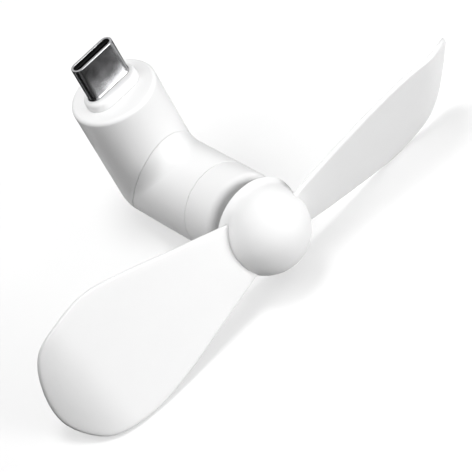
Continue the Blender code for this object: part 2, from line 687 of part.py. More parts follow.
def build_front_cover():
    seam = COVER_SEAM + SEAM_HALF_GAP
    hole = BOSS_RADIUS + SEAT_GAP
    profile = [(hole, COVER_FACE)]
    centre = (BODY_RADIUS - COVER_FILLET, COVER_FACE - COVER_FILLET)
    profile += arc_points(COVER_FILLET, math.pi / 2, 0.0, FILLET_STEPS + 2, centre)
    profile += [
        (BODY_RADIUS, seam), (MOTOR_BORE + COVER_LIP_WALL, seam),
        (MOTOR_BORE + COVER_LIP_WALL, COVER_SEAM - COVER_LIP_LENGTH), (MOTOR_BORE, COVER_SEAM - COVER_LIP_LENGTH),
        (MOTOR_BORE, COVER_INSIDE), (hole, COVER_INSIDE),
    ]
    turned("front_cover", profile, HEAD_FRAME, "white_shell")


def build_motor_shell():
    lip_hole = SHAFT_HOLE
    pocket_top = BOSS_FRONT - BOSS_LIP
    inside = MOTOR_FRONT - CAN_FACE_WALL
    turned("motor_can", [
        (lip_hole, BOSS_FRONT), (BOSS_RADIUS, BOSS_FRONT), (BOSS_RADIUS, MOTOR_FRONT), (MOTOR_RADIUS, MOTOR_FRONT),
        (MOTOR_RADIUS, MOTOR_BACK), (CAN_BORE, MOTOR_BACK), (CAN_BORE, inside), (BUSH_POCKET, inside),
        (BUSH_POCKET, pocket_top), (lip_hole, pocket_top),
    ], HEAD_FRAME, "bright_steel")
    bush_top = pocket_top - SEAT_GAP
    turned("front_bush", tube_profile(BUSH_RADIUS, SHAFT_BORE, bush_top - BUSH_LENGTH, bush_top), HEAD_FRAME,
           "bronze", sides=SMALL_SIDES)
    turned("shaft_spacer", tube_profile(SPACER_RADIUS, SHAFT_BORE, CORE_FRONT + SEAT_GAP,
                                        bush_top - BUSH_LENGTH - SEAT_GAP), ROTOR_FRAME, "cream_plastic",
           sides=SMALL_SIDES)

    rear = MOTOR_BACK - END_CAP_BOSS
    pocket_end = END_CAP_FRONT - BOSS_LIP - BOSS_WALL
    cap = turned("motor_end_cap", [
        (lip_hole, END_CAP_FRONT), (CAN_BORE - RUN_GAP, END_CAP_FRONT), (CAN_BORE - RUN_GAP, MOTOR_BACK),
        (BUSH_POCKET + END_CAP_BOSS_WALL, MOTOR_BACK), (BUSH_POCKET + END_CAP_BOSS_WALL, rear), (BUSH_POCKET, rear),
        (BUSH_POCKET, pocket_end), (lip_hole, pocket_end),
    ], HEAD_FRAME, "cream_plastic")
    bush_end = pocket_end - SEAT_GAP
    turned("rear_bush", tube_profile(BUSH_RADIUS, SHAFT_BORE, bush_end - BUSH_LENGTH, bush_end), HEAD_FRAME,
           "bronze", sides=SMALL_SIDES)

    for side, name in ((1, "positive"), (-1, "negative")):
        place = (side * TERMINAL_PLACE, side * BRUSH_HALF_SPAN, MOTOR_BACK + END_CAP_THICKNESS / 2)
        size = (TERMINAL_THICKNESS + 2 * RUN_GAP, TERMINAL_WIDTH + 2 * RUN_GAP, END_CAP_THICKNESS + CUT_OVERRUN)
        slot = box("terminal_slot_" + name, size, place, HEAD_FRAME)
        boolean(cap, slot, "DIFFERENCE")
        build_brush(name, side)


def build_brush(name, side):
    """Terminal strip through the end cap, and a leaf that lies beside the commutator."""
    leaf_bottom = COMMUTATOR_BACK + RUN_GAP
    leaf_top = leaf_bottom + BRUSH_WIDTH
    leaf_face = SEGMENT_OUTER + PRESS_GAP
    strip_bottom = MOTOR_BACK - TERMINAL_REACH
    arm_y = BRUSH_HALF_SPAN
    strip = box("brush_" + name, (TERMINAL_THICKNESS, TERMINAL_WIDTH, leaf_top - strip_bottom),
                (side * TERMINAL_PLACE, side * arm_y, (leaf_top + strip_bottom) / 2), HEAD_FRAME, "copper")
    outline = [
        (leaf_face, -BRUSH_HALF_SPAN / 2), (leaf_face + BRUSH_THICKNESS, -BRUSH_HALF_SPAN / 2),
        (leaf_face + BRUSH_THICKNESS, arm_y - BRUSH_THICKNESS), (TERMINAL_PLACE, arm_y - BRUSH_THICKNESS),
        (TERMINAL_PLACE, arm_y), (leaf_face, arm_y),
    ]
    turned_outline = [(side * x, side * y) for x, y in outline]
    leaf = flat_outline("brush_leaf_" + name, [turned_outline], BRUSH_WIDTH - PRESS_GAP, leaf_bottom, HEAD_FRAME)
    boolean(strip, leaf, "UNION")


def ring_sector(inner, outer, middle, arc, steps):
    outline = arc_points(outer, middle - arc / 2, middle + arc / 2, steps)
    outline += arc_points(inner, middle + arc / 2, middle - arc / 2, steps)
    return outline


def build_magnets():
    outer = CAN_BORE - RUN_GAP
    for name, middle in (("magnet_left", math.pi), ("magnet_right", 0.0)):
        outline = ring_sector(outer - MAGNET_THICKNESS, outer, middle, MAGNET_ARC, SMALL_SIDES // 2)
        flat_outline(name, [outline], MAGNET_LENGTH, CORE_MIDDLE - MAGNET_LENGTH / 2, HEAD_FRAME, "magnet_grey")


# Rotor

def build_shaft():
    tip = HUB_BACK + SHAFT_GRIP
    back = MOTOR_BACK - END_CAP_BOSS + RUN_GAP
    disc("motor_shaft", SHAFT_RADIUS, back, tip, ROTOR_FRAME, "bright_steel")


def pole_outline():
    """Lamination outline: a ring with an arm and a shoe for each pole."""
    ring = SHAFT_BORE + CORE_RING
    shoe_inner = CORE_RADIUS - POLE_SHOE
    arm_on_ring = math.asin(POLE_ARM / 2 / ring)
    arm_on_shoe = math.asin(POLE_ARM / 2 / shoe_inner)
    outline = []
    for pole in range(POLE_COUNT):
        middle = math.tau * pole / POLE_COUNT
        following = middle + math.tau / POLE_COUNT
        start = middle - POLE_SHOE_ARC / 2
        end = middle + POLE_SHOE_ARC / 2
        outline += arc_points(shoe_inner, middle - arm_on_shoe, start, SHOE_END_STEPS)
        outline += arc_points(CORE_RADIUS, start, end, SHOE_FACE_STEPS)
        outline += arc_points(shoe_inner, end, middle + arm_on_shoe, SHOE_END_STEPS)
        outline += arc_points(ring, middle + arm_on_ring, following - arm_on_ring, RING_STEPS)
    return outline


def build_armature():
    bore = arc_points(SHAFT_BORE, 0.0, math.tau, SMALL_SIDES)[:-1]
    flat_outline("rotor_core", [pole_outline(), bore], CORE_LENGTH, CORE_BACK, ROTOR_FRAME, "bright_steel")
    inner = SHAFT_BORE + CORE_RING + WINDING_INSET + SEAT_GAP
    outer = CORE_RADIUS - POLE_SHOE - WINDING_INSET - SEAT_GAP
    wide = POLE_ARM + 2 * PRESS_GAP
    tall = CORE_LENGTH + 2 * PRESS_GAP
    for pole in range(POLE_COUNT):
        coil = box("winding_%d" % (pole + 1), (outer - inner, wide + 2 * WINDING_BUILD, tall + 2 * WINDING_BUILD),
                   ((outer + inner) / 2, 0, CORE_MIDDLE), ROTOR_FRAME, "copper")
        coil.rotation_euler = (0, 0, math.tau * pole / POLE_COUNT)
        window = box("winding_window_%d" % (pole + 1), (outer - inner + CUT_OVERRUN, wide, tall),
                     ((outer + inner) / 2, 0, CORE_MIDDLE), ROTOR_FRAME)
        window.rotation_euler = coil.rotation_euler
        boolean(coil, window, "DIFFERENCE")


def build_commutator():
    turned("commutator_sleeve", tube_profile(SLEEVE_OUTER, SHAFT_BORE, COMMUTATOR_BACK, CORE_BACK - SEAT_GAP),
           ROTOR_FRAME, "cream_plastic", sides=SMALL_SIDES)
    for segment in range(POLE_COUNT):
        middle = math.tau * (segment + 1 / 2) / POLE_COUNT
        arc = math.tau / POLE_COUNT - SEGMENT_GAP_ANGLE
        outline = ring_sector(SEGMENT_INNER, SEGMENT_OUTER, middle, arc, SMALL_SIDES // 4)
        flat_outline("commutator_segment_%d" % (segment + 1), [outline], COMMUTATOR_LENGTH, COMMUTATOR_BACK,
                     ROTOR_FRAME, "copper")


def blade_outline():
    """Flat paddle: two straight flaring sides and a long round tip, which is fuller on its trailing side."""
    tip = []
    for index, share in enumerate(BLADE_TIP_SHARES):
        angle = BLADE_TIP_START * (1 - 2 * index / len(BLADE_TIP_SHARES[1:]))
        along = BLADE_TIP_CENTRE + BLADE_TIP_RADIUS * share * math.cos(angle)
        across = BLADE_TIP_RADIUS * share * math.sin(angle) - BLADE_TIP_OFFSET
        tip.append(Vector((along, across)))
    root = HUB_BOSS_RADIUS + SEAT_GAP
    outline = [(root, -BLADE_TRAIL_WIDTH)]
    outline += [tuple(point) for point in smooth_route(tip, BLADE_TIP_STEPS)]
    outline.append((root, BLADE_LEAD_WIDTH))
    return outline


def blade_slot_outline():
    """The blade's root with clearance, from inside the boss's face to past the dome."""
    outline = blade_outline()
    run = SLOT_REACH - HUB_BOSS_RADIUS
    far = []
    for root, corner in ((outline[0], outline[1]), (outline[-1], outline[-2])):
        flare = (corner[1] - root[1]) / (corner[0] - root[0])
        gap = math.copysign(SEAT_GAP, root[1])
        far.append((root[1] + gap, root[1] + gap + flare * run))
    return [(HUB_BOSS_RADIUS, far[0][0]), (SLOT_REACH, far[0][1]), (SLOT_REACH, far[1][1]),
            (HUB_BOSS_RADIUS, far[1][0])]


def shape_blade(mesh):
    """Twist the blade from its root outwards, and let its tip sag back, as its soft material does."""
    bm = bmesh.new()
    bm.from_mesh(mesh)
    tip = max(vertex.co.x for vertex in bm.verts)
    for start, cuts in ((BLADE_TWIST_START, BLADE_TWIST_CUTS), (BLADE_CURL_START, BLADE_CURL_CUTS)):
        far = BLADE_CURL_START if start < BLADE_CURL_START else tip
        for cut in range(cuts):
            along = start + (far - start) * cut / cuts
            bmesh.ops.bisect_plane(bm, geom=bm.verts[:] + bm.edges[:] + bm.faces[:], dist=WELD_DISTANCE / 4,
                                   plane_co=(along, 0, 0), plane_no=(1, 0, 0))
    for vertex in bm.verts:
        sag = max(0.0, (vertex.co.x - BLADE_CURL_START) / (tip - BLADE_CURL_START))
        turn = BLADE_TWIST * max(0.0, (vertex.co.x - BLADE_TWIST_START) / (tip - BLADE_TWIST_START))
        vertex.co.z -= BLADE_CURL_DROP * sag * sag
        vertex.co = Matrix.Rotation(turn, 3, "X") @ vertex.co
    bm.to_mesh(mesh)
    bm.free()


def blade_matrix(half_turn):
    spin = Matrix.Rotation(half_turn, 4, "Z")
    lift = Matrix.Translation((0, 0, BLADE_PLACE))
    pitch = Matrix.Rotation(BLADE_PITCH, 4, "X")
    return lift @ spin @ pitch


def build_blades_and_hub():
    dome = turned("hub_dome", dome_profile(), ROTOR_FRAME, "soft_white")
    core = turned("hub_core", hub_core_profile(), ROTOR_FRAME, "white_shell")
    for name, half_turn in (("blade_right", 0.0), ("blade_left", math.pi)):
        blade = flat_outline(name, [blade_outline()], BLADE_THICKNESS, -BLADE_THICKNESS / 2, ROTOR_FRAME,
                             "soft_white")
        shape_blade(blade.data)
        blade.matrix_local = blade_matrix(half_turn)
        edge = blade.modifiers.new("soft_edge", "BEVEL")
        edge.width = BLADE_EDGE
        edge.segments = 2
        edge.limit_method = "ANGLE"
        edge.angle_limit = math.radians(60.0)
        slot = flat_outline(name + "_slot", [blade_slot_outline()], BLADE_THICKNESS + 2 * SEAT_GAP,
                            -BLADE_THICKNESS / 2 - SEAT_GAP, ROTOR_FRAME)
        slot.matrix_local = blade.matrix_local
        boolean(dome, slot, "DIFFERENCE")
        boolean(core, slot, "DIFFERENCE")


def dome_profile():
    """Round nose over a flared skirt, with an even wall."""
    rim = HUB_BACK
    outer = arc_points(DOME_RADIUS, math.pi / 2, 0.0, DOME_STEPS, (0, DOME_CENTRE))
    outer[0] = (0, DOME_CENTRE + DOME_RADIUS)
    for step in range(1, SKIRT_STEPS + 1):
        share = step / SKIRT_STEPS
        outer.append((DOME_RADIUS + SKIRT_FLARE * share * share, DOME_CENTRE - DOME_SKIRT * share))
    inner_radius = DOME_RADIUS - DOME_WALL
    inner = [(inner_radius, rim)]
    inner += arc_points(inner_radius, 0.0, math.pi / 2, DOME_STEPS, (0, DOME_CENTRE))
    inner[-1] = (0, DOME_CENTRE + inner_radius)
    return outer + inner


def hub_core_profile():
    plate_top = HUB_BACK + HUB_PLATE_THICKNESS
    boss_top = HUB_BACK + HUB_BOSS_REACH
    bore_top = HUB_BACK + SHAFT_GRIP + SEAT_GAP
    plate_radius = DOME_RADIUS - DOME_WALL - RUN_GAP
    return [
        (0, boss_top), (HUB_BOSS_RADIUS, boss_top), (HUB_BOSS_RADIUS, plate_top), (plate_radius, plate_top),
        (plate_radius, HUB_BACK), (SHAFT_BORE, HUB_BACK), (SHAFT_BORE, bore_top), (0, bore_top),
    ]


# Leads, held all the way inside the housings: points as (across share, forward, up)

LEAD_TOP_SHARE = 0.85
LEAD_UPPER_SHARE = 0.64
LEAD_LOWER_SHARE = 0.49
LEAD_FOOT_SHARE = 0.36
PLUG_LEAD_ROUTE = [
    (1.0, 1.2 * MM, BOARD_BOTTOM + LEAD_LAP),
    (1.0, 1.1 * MM, BOARD_BOTTOM * LEAD_TOP_SHARE),
    (0.8, 0.1 * MM, BOARD_BOTTOM * LEAD_UPPER_SHARE),
    (0.5, -1.6 * MM, BOARD_BOTTOM * LEAD_LOWER_SHARE),
    (0.2, -3.0 * MM, BOARD_BOTTOM * LEAD_FOOT_SHARE),
    (0.0, -3.2 * MM, 2.2 * MM),
    (0.0, -2.1 * MM, 1.2 * MM),
    (0.0, -0.9 * MM, 0.52 * MM),
]
HEAD_LEAD_ROUTE = [
    (0.0, 2.2 * MM, -1.27 * MM),
    (0.0, 3.4 * MM, -1.9 * MM),
    (0.35, 4.6 * MM, -2.0 * MM),
    (0.75, 5.5 * MM, -1.5 * MM),
]


def smooth_route(points, steps=4):
    """Points along a smooth curve through the route's own points."""
    route = []
    for index in range(len(points) - 1):
        before = points[max(index - 1, 0)]
        start = points[index]
        end = points[index + 1]
        after = points[min(index + 2, len(points) - 1)]
        for step in range(steps):
            t = step / steps
            bend = 2 * before - 5 * start + 4 * end - after
            twist = 3 * start - before - 3 * end + after
            route.append((2 * start + (end - before) * t + bend * t ** 2 + twist * t ** 3) / 2)
    route.append(points[-1])
    return route


def build_lead(name, points, look):
    curve = bpy.data.curves.new(name, "CURVE")
    curve.dimensions = "3D"
    curve.bevel_depth = LEAD_RADIUS
    curve.bevel_resolution = 2
    curve.use_fill_caps = True
    spline = curve.splines.new("POLY")
    route = smooth_route(points)
    spline.points.add(len(route[1:]))
    for point, place in zip(spline.points, route):
        point.co = (*place, 1)
    guide = bpy.data.objects.new(name + "_route", curve)
    bpy.context.scene.collection.objects.link(guide)
    add_object(name, solid_from_curve(guide, name), WORLD_FRAME, look)


def build_leads():
    seam_plug = SWIVEL_AXIS * (SEAM_OFFSET - SEAT_GAP)
    seam_head = SWIVEL_AXIS * (SEAM_OFFSET + SEAT_GAP)
    end_forward = MOTOR_BACK - TERMINAL_REACH / 2
    for side, colour in ((1, "red"), (-1, "black")):
        plug_points = []
        for share, forward, up in PLUG_LEAD_ROUTE:
            across = LEAD_SPREAD + share * (BOARD_LEAD_SPREAD - LEAD_SPREAD)
            plug_points.append(Vector((side * across, -forward, up)))
        plug_points.append(seam_plug + Vector((side * LEAD_SPREAD, 0, 0)))
        build_lead("plug_lead_" + colour, plug_points, colour + "_lead")
        terminal_inside = TERMINAL_PLACE - TERMINAL_THICKNESS / 2 - SEAT_GAP - LEAD_RADIUS
        head_points = [seam_head + Vector((side * LEAD_SPREAD, 0, 0))]
        for share, forward, up in HEAD_LEAD_ROUTE:
            across = LEAD_SPREAD + share * (terminal_inside - LEAD_SPREAD)
            head_points.append(Vector((side * across, -forward, up)))
        head_points.append(Vector((side * terminal_inside, -end_forward, side * BRUSH_HALF_SPAN)))
        build_lead("head_lead_" + colour, head_points, colour + "_lead")


def stand_on_origin():
    """Shift the whole part so that the middle of its box's underside is the origin."""
    bpy.context.view_layer.update()
    depsgraph = bpy.context.evaluated_depsgraph_get()
    corners = []
    for obj in PARTS.objects:
        evaluated = obj.evaluated_get(depsgraph)
        corners += [evaluated.matrix_world @ vertex.co for vertex in evaluated.data.vertices]
    low = [min(corner[axis] for corner in corners) for axis in range(3)]
    high = [max(corner[axis] for corner in corners) for axis in range(3)]
    WORLD_FRAME.location = (-(low[0] + high[0]) / 2, -(low[1] + high[1]) / 2, -low[2])
    bpy.context.view_layer.update()
    print("elbow centre at", tuple(round(value / MM, 4) for value in WORLD_FRAME.location))
    print("size", tuple(round((top - bottom) / MM, 3) for bottom, top in zip(low, high)))


clear_scene()
PARTS = new_collection("phone_fan")
CUTTERS = new_collection("cutters")
SWIVEL_AXIS = Vector((0, -math.cos(SEAM_SLANT), -math.sin(SEAM_SLANT)))
WORLD_FRAME = new_frame("elbow_frame", Matrix.Identity(4))
UPRIGHT_FRAME = new_frame("upright_frame", Matrix.Rotation(math.pi / 2, 4, "X"), WORLD_FRAME)
SWIVEL_FRAME = new_frame("swivel_frame", Matrix.Translation(SWIVEL_AXIS * SEAM_OFFSET)
                         @ Matrix.Rotation(math.pi / 2 + SEAM_SLANT, 4, "X"), WORLD_FRAME)
HEAD_FRAME = new_frame("head_frame", Matrix.Rotation(math.pi / 2, 4, "X"), WORLD_FRAME)
ROTOR_FRAME = new_frame("rotor_frame", Matrix.Rotation(-BLADE_REST_TURN, 4, "Z"), HEAD_FRAME)

build_plug()
build_collar()
build_plug_housing()
build_board()
build_swivel()
build_head_housing()
build_front_cover()
build_motor_shell()
build_magnets()
build_shaft()
build_armature()
build_commutator()
build_blades_and_hub()
build_leads()
stand_on_origin()
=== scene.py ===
# Phone fan, dressed for its picture: smooth shells, rolled plug mouth, soft rotor, and the parts inside.
# Metres, +Z up. The plug points up and the fan faces -Y, as in the frame.
import math

import bmesh
import bpy
from mathutils import Matrix, Vector


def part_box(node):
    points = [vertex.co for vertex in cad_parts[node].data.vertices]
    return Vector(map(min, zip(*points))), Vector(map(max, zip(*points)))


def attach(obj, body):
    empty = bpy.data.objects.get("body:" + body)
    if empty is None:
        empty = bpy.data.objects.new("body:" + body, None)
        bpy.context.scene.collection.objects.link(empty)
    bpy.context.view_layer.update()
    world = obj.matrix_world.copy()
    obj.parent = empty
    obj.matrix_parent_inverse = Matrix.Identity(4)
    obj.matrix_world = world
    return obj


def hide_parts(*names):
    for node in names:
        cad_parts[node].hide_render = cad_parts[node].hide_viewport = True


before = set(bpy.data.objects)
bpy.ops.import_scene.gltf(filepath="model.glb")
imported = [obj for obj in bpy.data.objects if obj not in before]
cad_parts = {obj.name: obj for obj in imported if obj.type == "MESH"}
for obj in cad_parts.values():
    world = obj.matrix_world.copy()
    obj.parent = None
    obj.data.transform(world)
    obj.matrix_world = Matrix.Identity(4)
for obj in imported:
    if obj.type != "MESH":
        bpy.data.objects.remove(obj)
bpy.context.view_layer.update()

MM = 0.001
WELD = 0.002 * MM
ROUND = 96
SMOOTH_ANGLE = math.radians(32.0)
SHARP_ANGLE = math.radians(40.0)


def middle(node, axis):
    low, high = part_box(node)
    return (low[axis] + high[axis]) / 2


# Places: the elbow's centre, and frames that look along the fan, the swivel and the turned rotor
ELBOW = Vector((middle("plug_shell", 0), middle("plug_shell", 1), middle("motor_shaft", 2)))
SEAM_SLANT = math.radians(30.0)
SEAM_OFFSET = 1.0 * MM
SEAM_AXIS = Vector((0, -math.cos(SEAM_SLANT), -math.sin(SEAM_SLANT)))
REST_TURN = math.radians(1.7)
BODY = Matrix.Translation(ELBOW)
HEAD = BODY @ Matrix.Rotation(math.pi / 2, 4, "X")
SEAM_MIDDLE = BODY @ Matrix.Translation(SEAM_AXIS * SEAM_OFFSET)
SWIVEL = SEAM_MIDDLE @ Matrix.Rotation(math.pi / 2 + SEAM_SLANT, 4, "X")
ROTOR = HEAD @ Matrix.Rotation(-REST_TURN, 4, "Z")

# Housings
BODY_RADIUS = 7.3 * MM
BODY_WALL = 1.6 * MM
BLEND = 3.2 * MM
SHOULDER = 18.9 * MM
SHOULDER_FILLET = 0.7 * MM
END_WALL = 1.2 * MM
SEAM_GAP = 0.02 * MM
SEAM_ROUND = 0.16 * MM
COVER_SEAM = 16.05 * MM
COVER_FACE = 22.4 * MM
COVER_FILLET = 1.3 * MM
COVER_LIP = 2.4 * MM
SEAM_EDGE = 0.15 * MM
CUT_OVERRUN = 2.0 * MM

# Plug and collar
PLUG_HALF_THICKNESS = 1.2 * MM
PLUG_REACH = 2.925 * MM
COLLAR_TOP = 20.46 * MM
PLUG_TIP = 27.11 * MM
PLUG_BOTTOM = 15.86 * MM
COLLAR_HALF_THICKNESS = 2.85 * MM
COLLAR_REACH = 2.15 * MM
COLLAR_FILLET = 0.62 * MM
COLLAR_LEDGE = 0.45 * MM
COLLAR_DEPTH = 3.6 * MM
COLLAR_CLEARANCE = 0.03 * MM

# Motor and swivel
MOTOR_BACK = 7.6 * MM
MOTOR_FRONT = 21.1 * MM
MOTOR_BORE = 6.2 * MM
BOSS_RADIUS = 2.0 * MM
RIVET_RADIUS = 2.565 * MM
RIVET_RUNNING_GAP = 0.15 * MM
RIVET_PRESSED_GAP = 0.1 * MM
STOP_CIRCLE = 5.016 * MM
STOP_PIN_RADIUS = 0.5 * MM
STOP_PIN_REACH = 0.7 * MM
STOP_GROOVE_HALF_WIDTH = 0.65 * MM
STOP_GROOVE_DEPTH = 0.9 * MM

# Hub and blades
HUB_BACK = 25.0 * MM
DOME_CENTRE = 27.0 * MM
DOME_RADIUS = 7.27 * MM
DOME_WALL = 1.2 * MM
SKIRT_FLARE = 0.63 * MM
CORE_BOSS = 2.6 * MM
CORE_FRONT = 30.2 * MM
CORE_PLATE = 26.0 * MM
SHAFT_BORE = 0.85 * MM
SHAFT_BORE_END = 29.8 * MM
BLADE_PLACE = 28.2 * MM
BLADE_PITCH = math.radians(21.7)
BLADE_TWIST = math.radians(5.9)
TWIST_START = 12.0 * MM
BLADE_ROOT = 2.8 * MM
BLADE_LEAD = 3.1 * MM
BLADE_TRAIL = 5.0 * MM
BLADE_TIP_RADIUS = 11.0 * MM
BLADE_TIP_CENTRE = 31.6 * MM
BLADE_TIP_OFFSET = 2.0 * MM
CURL_START = 34.6 * MM
CURL_DROP = 3.2 * MM


# Shapes

def face_out(bm):
    """Turns every face outwards, also where a hollow shape misleads the operator."""
    bmesh.ops.recalc_face_normals(bm, faces=bm.faces)
    if bm.calc_volume(signed=True) < 0:
        bmesh.ops.reverse_faces(bm, faces=bm.faces)
    return bm


def wire_edges(verts):
    chosen = set(verts)
    return [edge for vertex in verts for edge in vertex.link_edges if edge.other_vert(vertex) in chosen]


def ring(bm, shape, sides=ROUND):
    """A circle whose points are put where shape says, from their place on a unit circle."""
    made = bmesh.ops.create_circle(bm, segments=sides, radius=1.0)["verts"]
    for vertex in made:
        vertex.co = shape(vertex.co.x, vertex.co.y)
    return list(dict.fromkeys(wire_edges(made)))


def skin(bm, rings):
    """Bridges each ring to the next, and fills the first and the last."""
    for near, far in zip(rings, rings[1:]):
        bmesh.ops.bridge_loops(bm, edges=near + far)
    bmesh.ops.edgeloop_fill(bm, edges=rings[0])
    bmesh.ops.edgeloop_fill(bm, edges=rings[-1])
    bmesh.ops.remove_doubles(bm, verts=bm.verts, dist=WELD)
    return face_out(bm)


def racetrack_stack(reach, sections, steps=20):
    """A round-ended ring, spun round its ends and extruded through sections of (half thickness, height).

    It is closed at both ends, or hollow where the last section is the first one again."""
    bm = bmesh.new()
    half, height = sections[0]
    start = bm.verts.new((reach, -half, height))
    turn = spun_end(bm, start, (reach, 0, height), steps)
    far = bmesh.ops.extrude_vert_indiv(bm, verts=[turn])["verts"][0]
    far.co.x = -reach
    last = spun_end(bm, far, (-reach, 0, height), steps)
    bm.edges.new((last, start))
    first = bm.edges[:]
    edges = first
    for half, height in sections[1:]:
        made = bmesh.ops.extrude_edge_only(bm, edges=edges)["geom"]
        verts = {item for item in made if isinstance(item, bmesh.types.BMVert)}
        edges = [item for item in made
                 if isinstance(item, bmesh.types.BMEdge) and verts.issuperset(item.verts)]
        for vertex in verts:
            spine = max(-reach, min(reach, vertex.co.x))
            out = Vector((vertex.co.x - spine, vertex.co.y, 0)).normalized() * half
            vertex.co = (spine + out.x, out.y, height)
    if sections[-1] != sections[0]:
        bmesh.ops.edgeloop_fill(bm, edges=first)
        bmesh.ops.edgeloop_fill(bm, edges=edges)
    bmesh.ops.remove_doubles(bm, verts=bm.verts, dist=WELD)
    return face_out(bm)


def spun_end(bm, vertex, centre, steps):
    made = bmesh.ops.spin(bm, geom=[vertex], cent=centre, axis=(0, 0, 1), angle=math.pi, steps=steps,
                          use_merge=False, use_duplicate=False)["geom_last"]
    return [item for item in made if isinstance(item, bmesh.types.BMVert)][0]


def arc(radius, start, end, steps, centre=(0.0, 0.0)):
    points = []
    for step in range(steps + 1):
        angle = start + (end - start) * step / steps
        points.append((centre[0] + radius * math.cos(angle), centre[1] + radius * math.sin(angle)))
    return points


def quarter(radius, steps):
    """Legs of a quarter fillet, from along its first side to along its second."""
    return arc(radius, 0.0, math.pi / 2, steps)


def turned(profile, soften=0.0):
    """A profile of (radius, height), listed down its outer side and closed, spun about Z."""
    bm = bmesh.new()
    points = [bm.verts.new((radius, 0, height)) for radius, height in profile]
    for start, end in zip(points, points[1:] + points[:1]):
        bm.edges.new((start, end))
    bmesh.ops.spin(bm, geom=bm.verts[:] + bm.edges[:], cent=(0, 0, 0), axis=(0, 0, 1), angle=math.tau,
                   steps=ROUND, use_merge=True, use_duplicate=False)
    bmesh.ops.remove_doubles(bm, verts=bm.verts, dist=WELD)
    thin = [edge for edge in bm.edges if not edge.link_faces]
    bmesh.ops.delete(bm, geom=thin, context="EDGES")
    face_out(bm)
    if soften:
        soften_edges(bm, soften)
    return bm


def soften_edges(bm, width):
    sharp = [edge for edge in bm.edges
             if len(edge.link_faces) == 2 and edge.calc_face_angle() > SHARP_ANGLE]
    bmesh.ops.bevel(bm, geom=sharp, offset=width, offset_type="OFFSET", segments=2, profile=0.5,
                    affect="EDGES", clamp_overlap=True, material=-1)


def disc(radius, bottom, top, sides=ROUND, soften=0.0):
    bm = bmesh.new()
    bmesh.ops.create_cone(bm, cap_ends=True, segments=sides, radius1=radius, radius2=radius,
                          depth=top - bottom)
    bmesh.ops.translate(bm, verts=bm.verts, vec=(0, 0, (top + bottom) / 2))
    if soften:
        soften_edges(bm, soften)
    return bm


def block(size, centre):
    bm = bmesh.new()
    bmesh.ops.create_cube(bm, size=1.0)
    bmesh.ops.scale(bm, verts=bm.verts, vec=size)
    bmesh.ops.translate(bm, verts=bm.verts, vec=centre)
    return bm


def plate(outline, bottom, top):
    """A flat outline of (x, y), raised from bottom to top."""
    bm = bmesh.new()
    face = bm.faces.new([bm.verts.new((x, y, bottom)) for x, y in outline])
    raised = bmesh.ops.extrude_face_region(bm, geom=[face])["geom"]
    bmesh.ops.translate(bm, verts=[item for item in raised if isinstance(item, bmesh.types.BMVert)],
                        vec=(0, 0, top - bottom))
    return face_out(bm)


# Pieces

def piece(name, bm, place, body, finish, nodes):
    """Stands a finished shape in the scene: its place goes into its mesh, and it rides on a body."""
    bmesh.ops.remove_doubles(bm, verts=bm.verts, dist=WELD / 4)
    bmesh.ops.transform(bm, matrix=place, verts=bm.verts)
    mesh = bpy.data.meshes.new(name)
    bm.to_mesh(mesh)
    bm.free()
    mesh.materials.append(FINISH[finish])
    obj = bpy.data.objects.new(name, mesh)
    bpy.context.scene.collection.objects.link(obj)
    shade(mesh)
    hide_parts(*nodes)
    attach(obj, body)
    return obj


def shade(mesh):
    mesh.shade_smooth()
    mesh.set_sharp_from_angle(angle=SMOOTH_ANGLE)


def carve(obj, bm, place, operation="DIFFERENCE"):
    """Takes a shape out of a piece for good, or adds it."""
    bmesh.ops.transform(bm, matrix=place, verts=bm.verts)
    mesh = bpy.data.meshes.new("tool")
    bm.to_mesh(mesh)
    bm.free()
    tool = bpy.data.objects.new("tool", mesh)
    bpy.context.scene.collection.objects.link(tool)
    change = obj.modifiers.new("carve", "BOOLEAN")
    change.operation = operation
    change.object = tool
    change.solver = "EXACT"
    bpy.context.view_layer.update()
    carved = bpy.data.meshes.new_from_object(obj.evaluated_get(bpy.context.evaluated_depsgraph_get()))
    obj.modifiers.clear()
    obj.data = carved
    shade(carved)
    bpy.data.objects.remove(tool, do_unlink=True)


# Elbow housings

def tube_ring(bm, radius, along):
    return ring(bm, lambda c, s: (radius * s, -radius * c, along))


def bend_ring(bm, radius, inner, outer):
    """Ring round the corner, from its inner and outer points (forward, up); they meet at the two sides."""
    def place(c, s):
        forward, up = inner if c > 0 else outer
        return (radius * s, -abs(c) * forward, abs(c) * up)
    return ring(bm, place)


def nose_ring(bm, radius, along):
    return ring(bm, lambda c, s: (radius * s, -along, radius * c))


def elbow(radius, blend, top, front, top_fillet=0.0, front_fillet=0.0, steps=24):
    """Plug tube, ball corner with a blended inside, and head tube, as one closed body."""
    bm = bmesh.new()
    rings = []
    if top_fillet:
        for out, up in reversed(quarter(top_fillet, 8)):
            rings.append(tube_ring(bm, radius - top_fillet + out, top - top_fillet + up))
    else:
        rings.append(tube_ring(bm, radius, top))
    corner = radius + blend
    for step in range(steps + 1):
        turn = math.pi + math.pi / 2 * step / steps
        inner = (corner + blend * math.cos(turn), corner + blend * math.sin(turn))
        outer = (radius * math.cos(turn), radius * math.sin(turn))
        rings.append(bend_ring(bm, radius, inner, outer))
    if front_fillet:
        for out, along in quarter(front_fillet, 6):
            rings.append(nose_ring(bm, radius - front_fillet + out, front - front_fillet + along))
    else:
        rings.append(nose_ring(bm, radius, front))
    return skin(bm, rings)


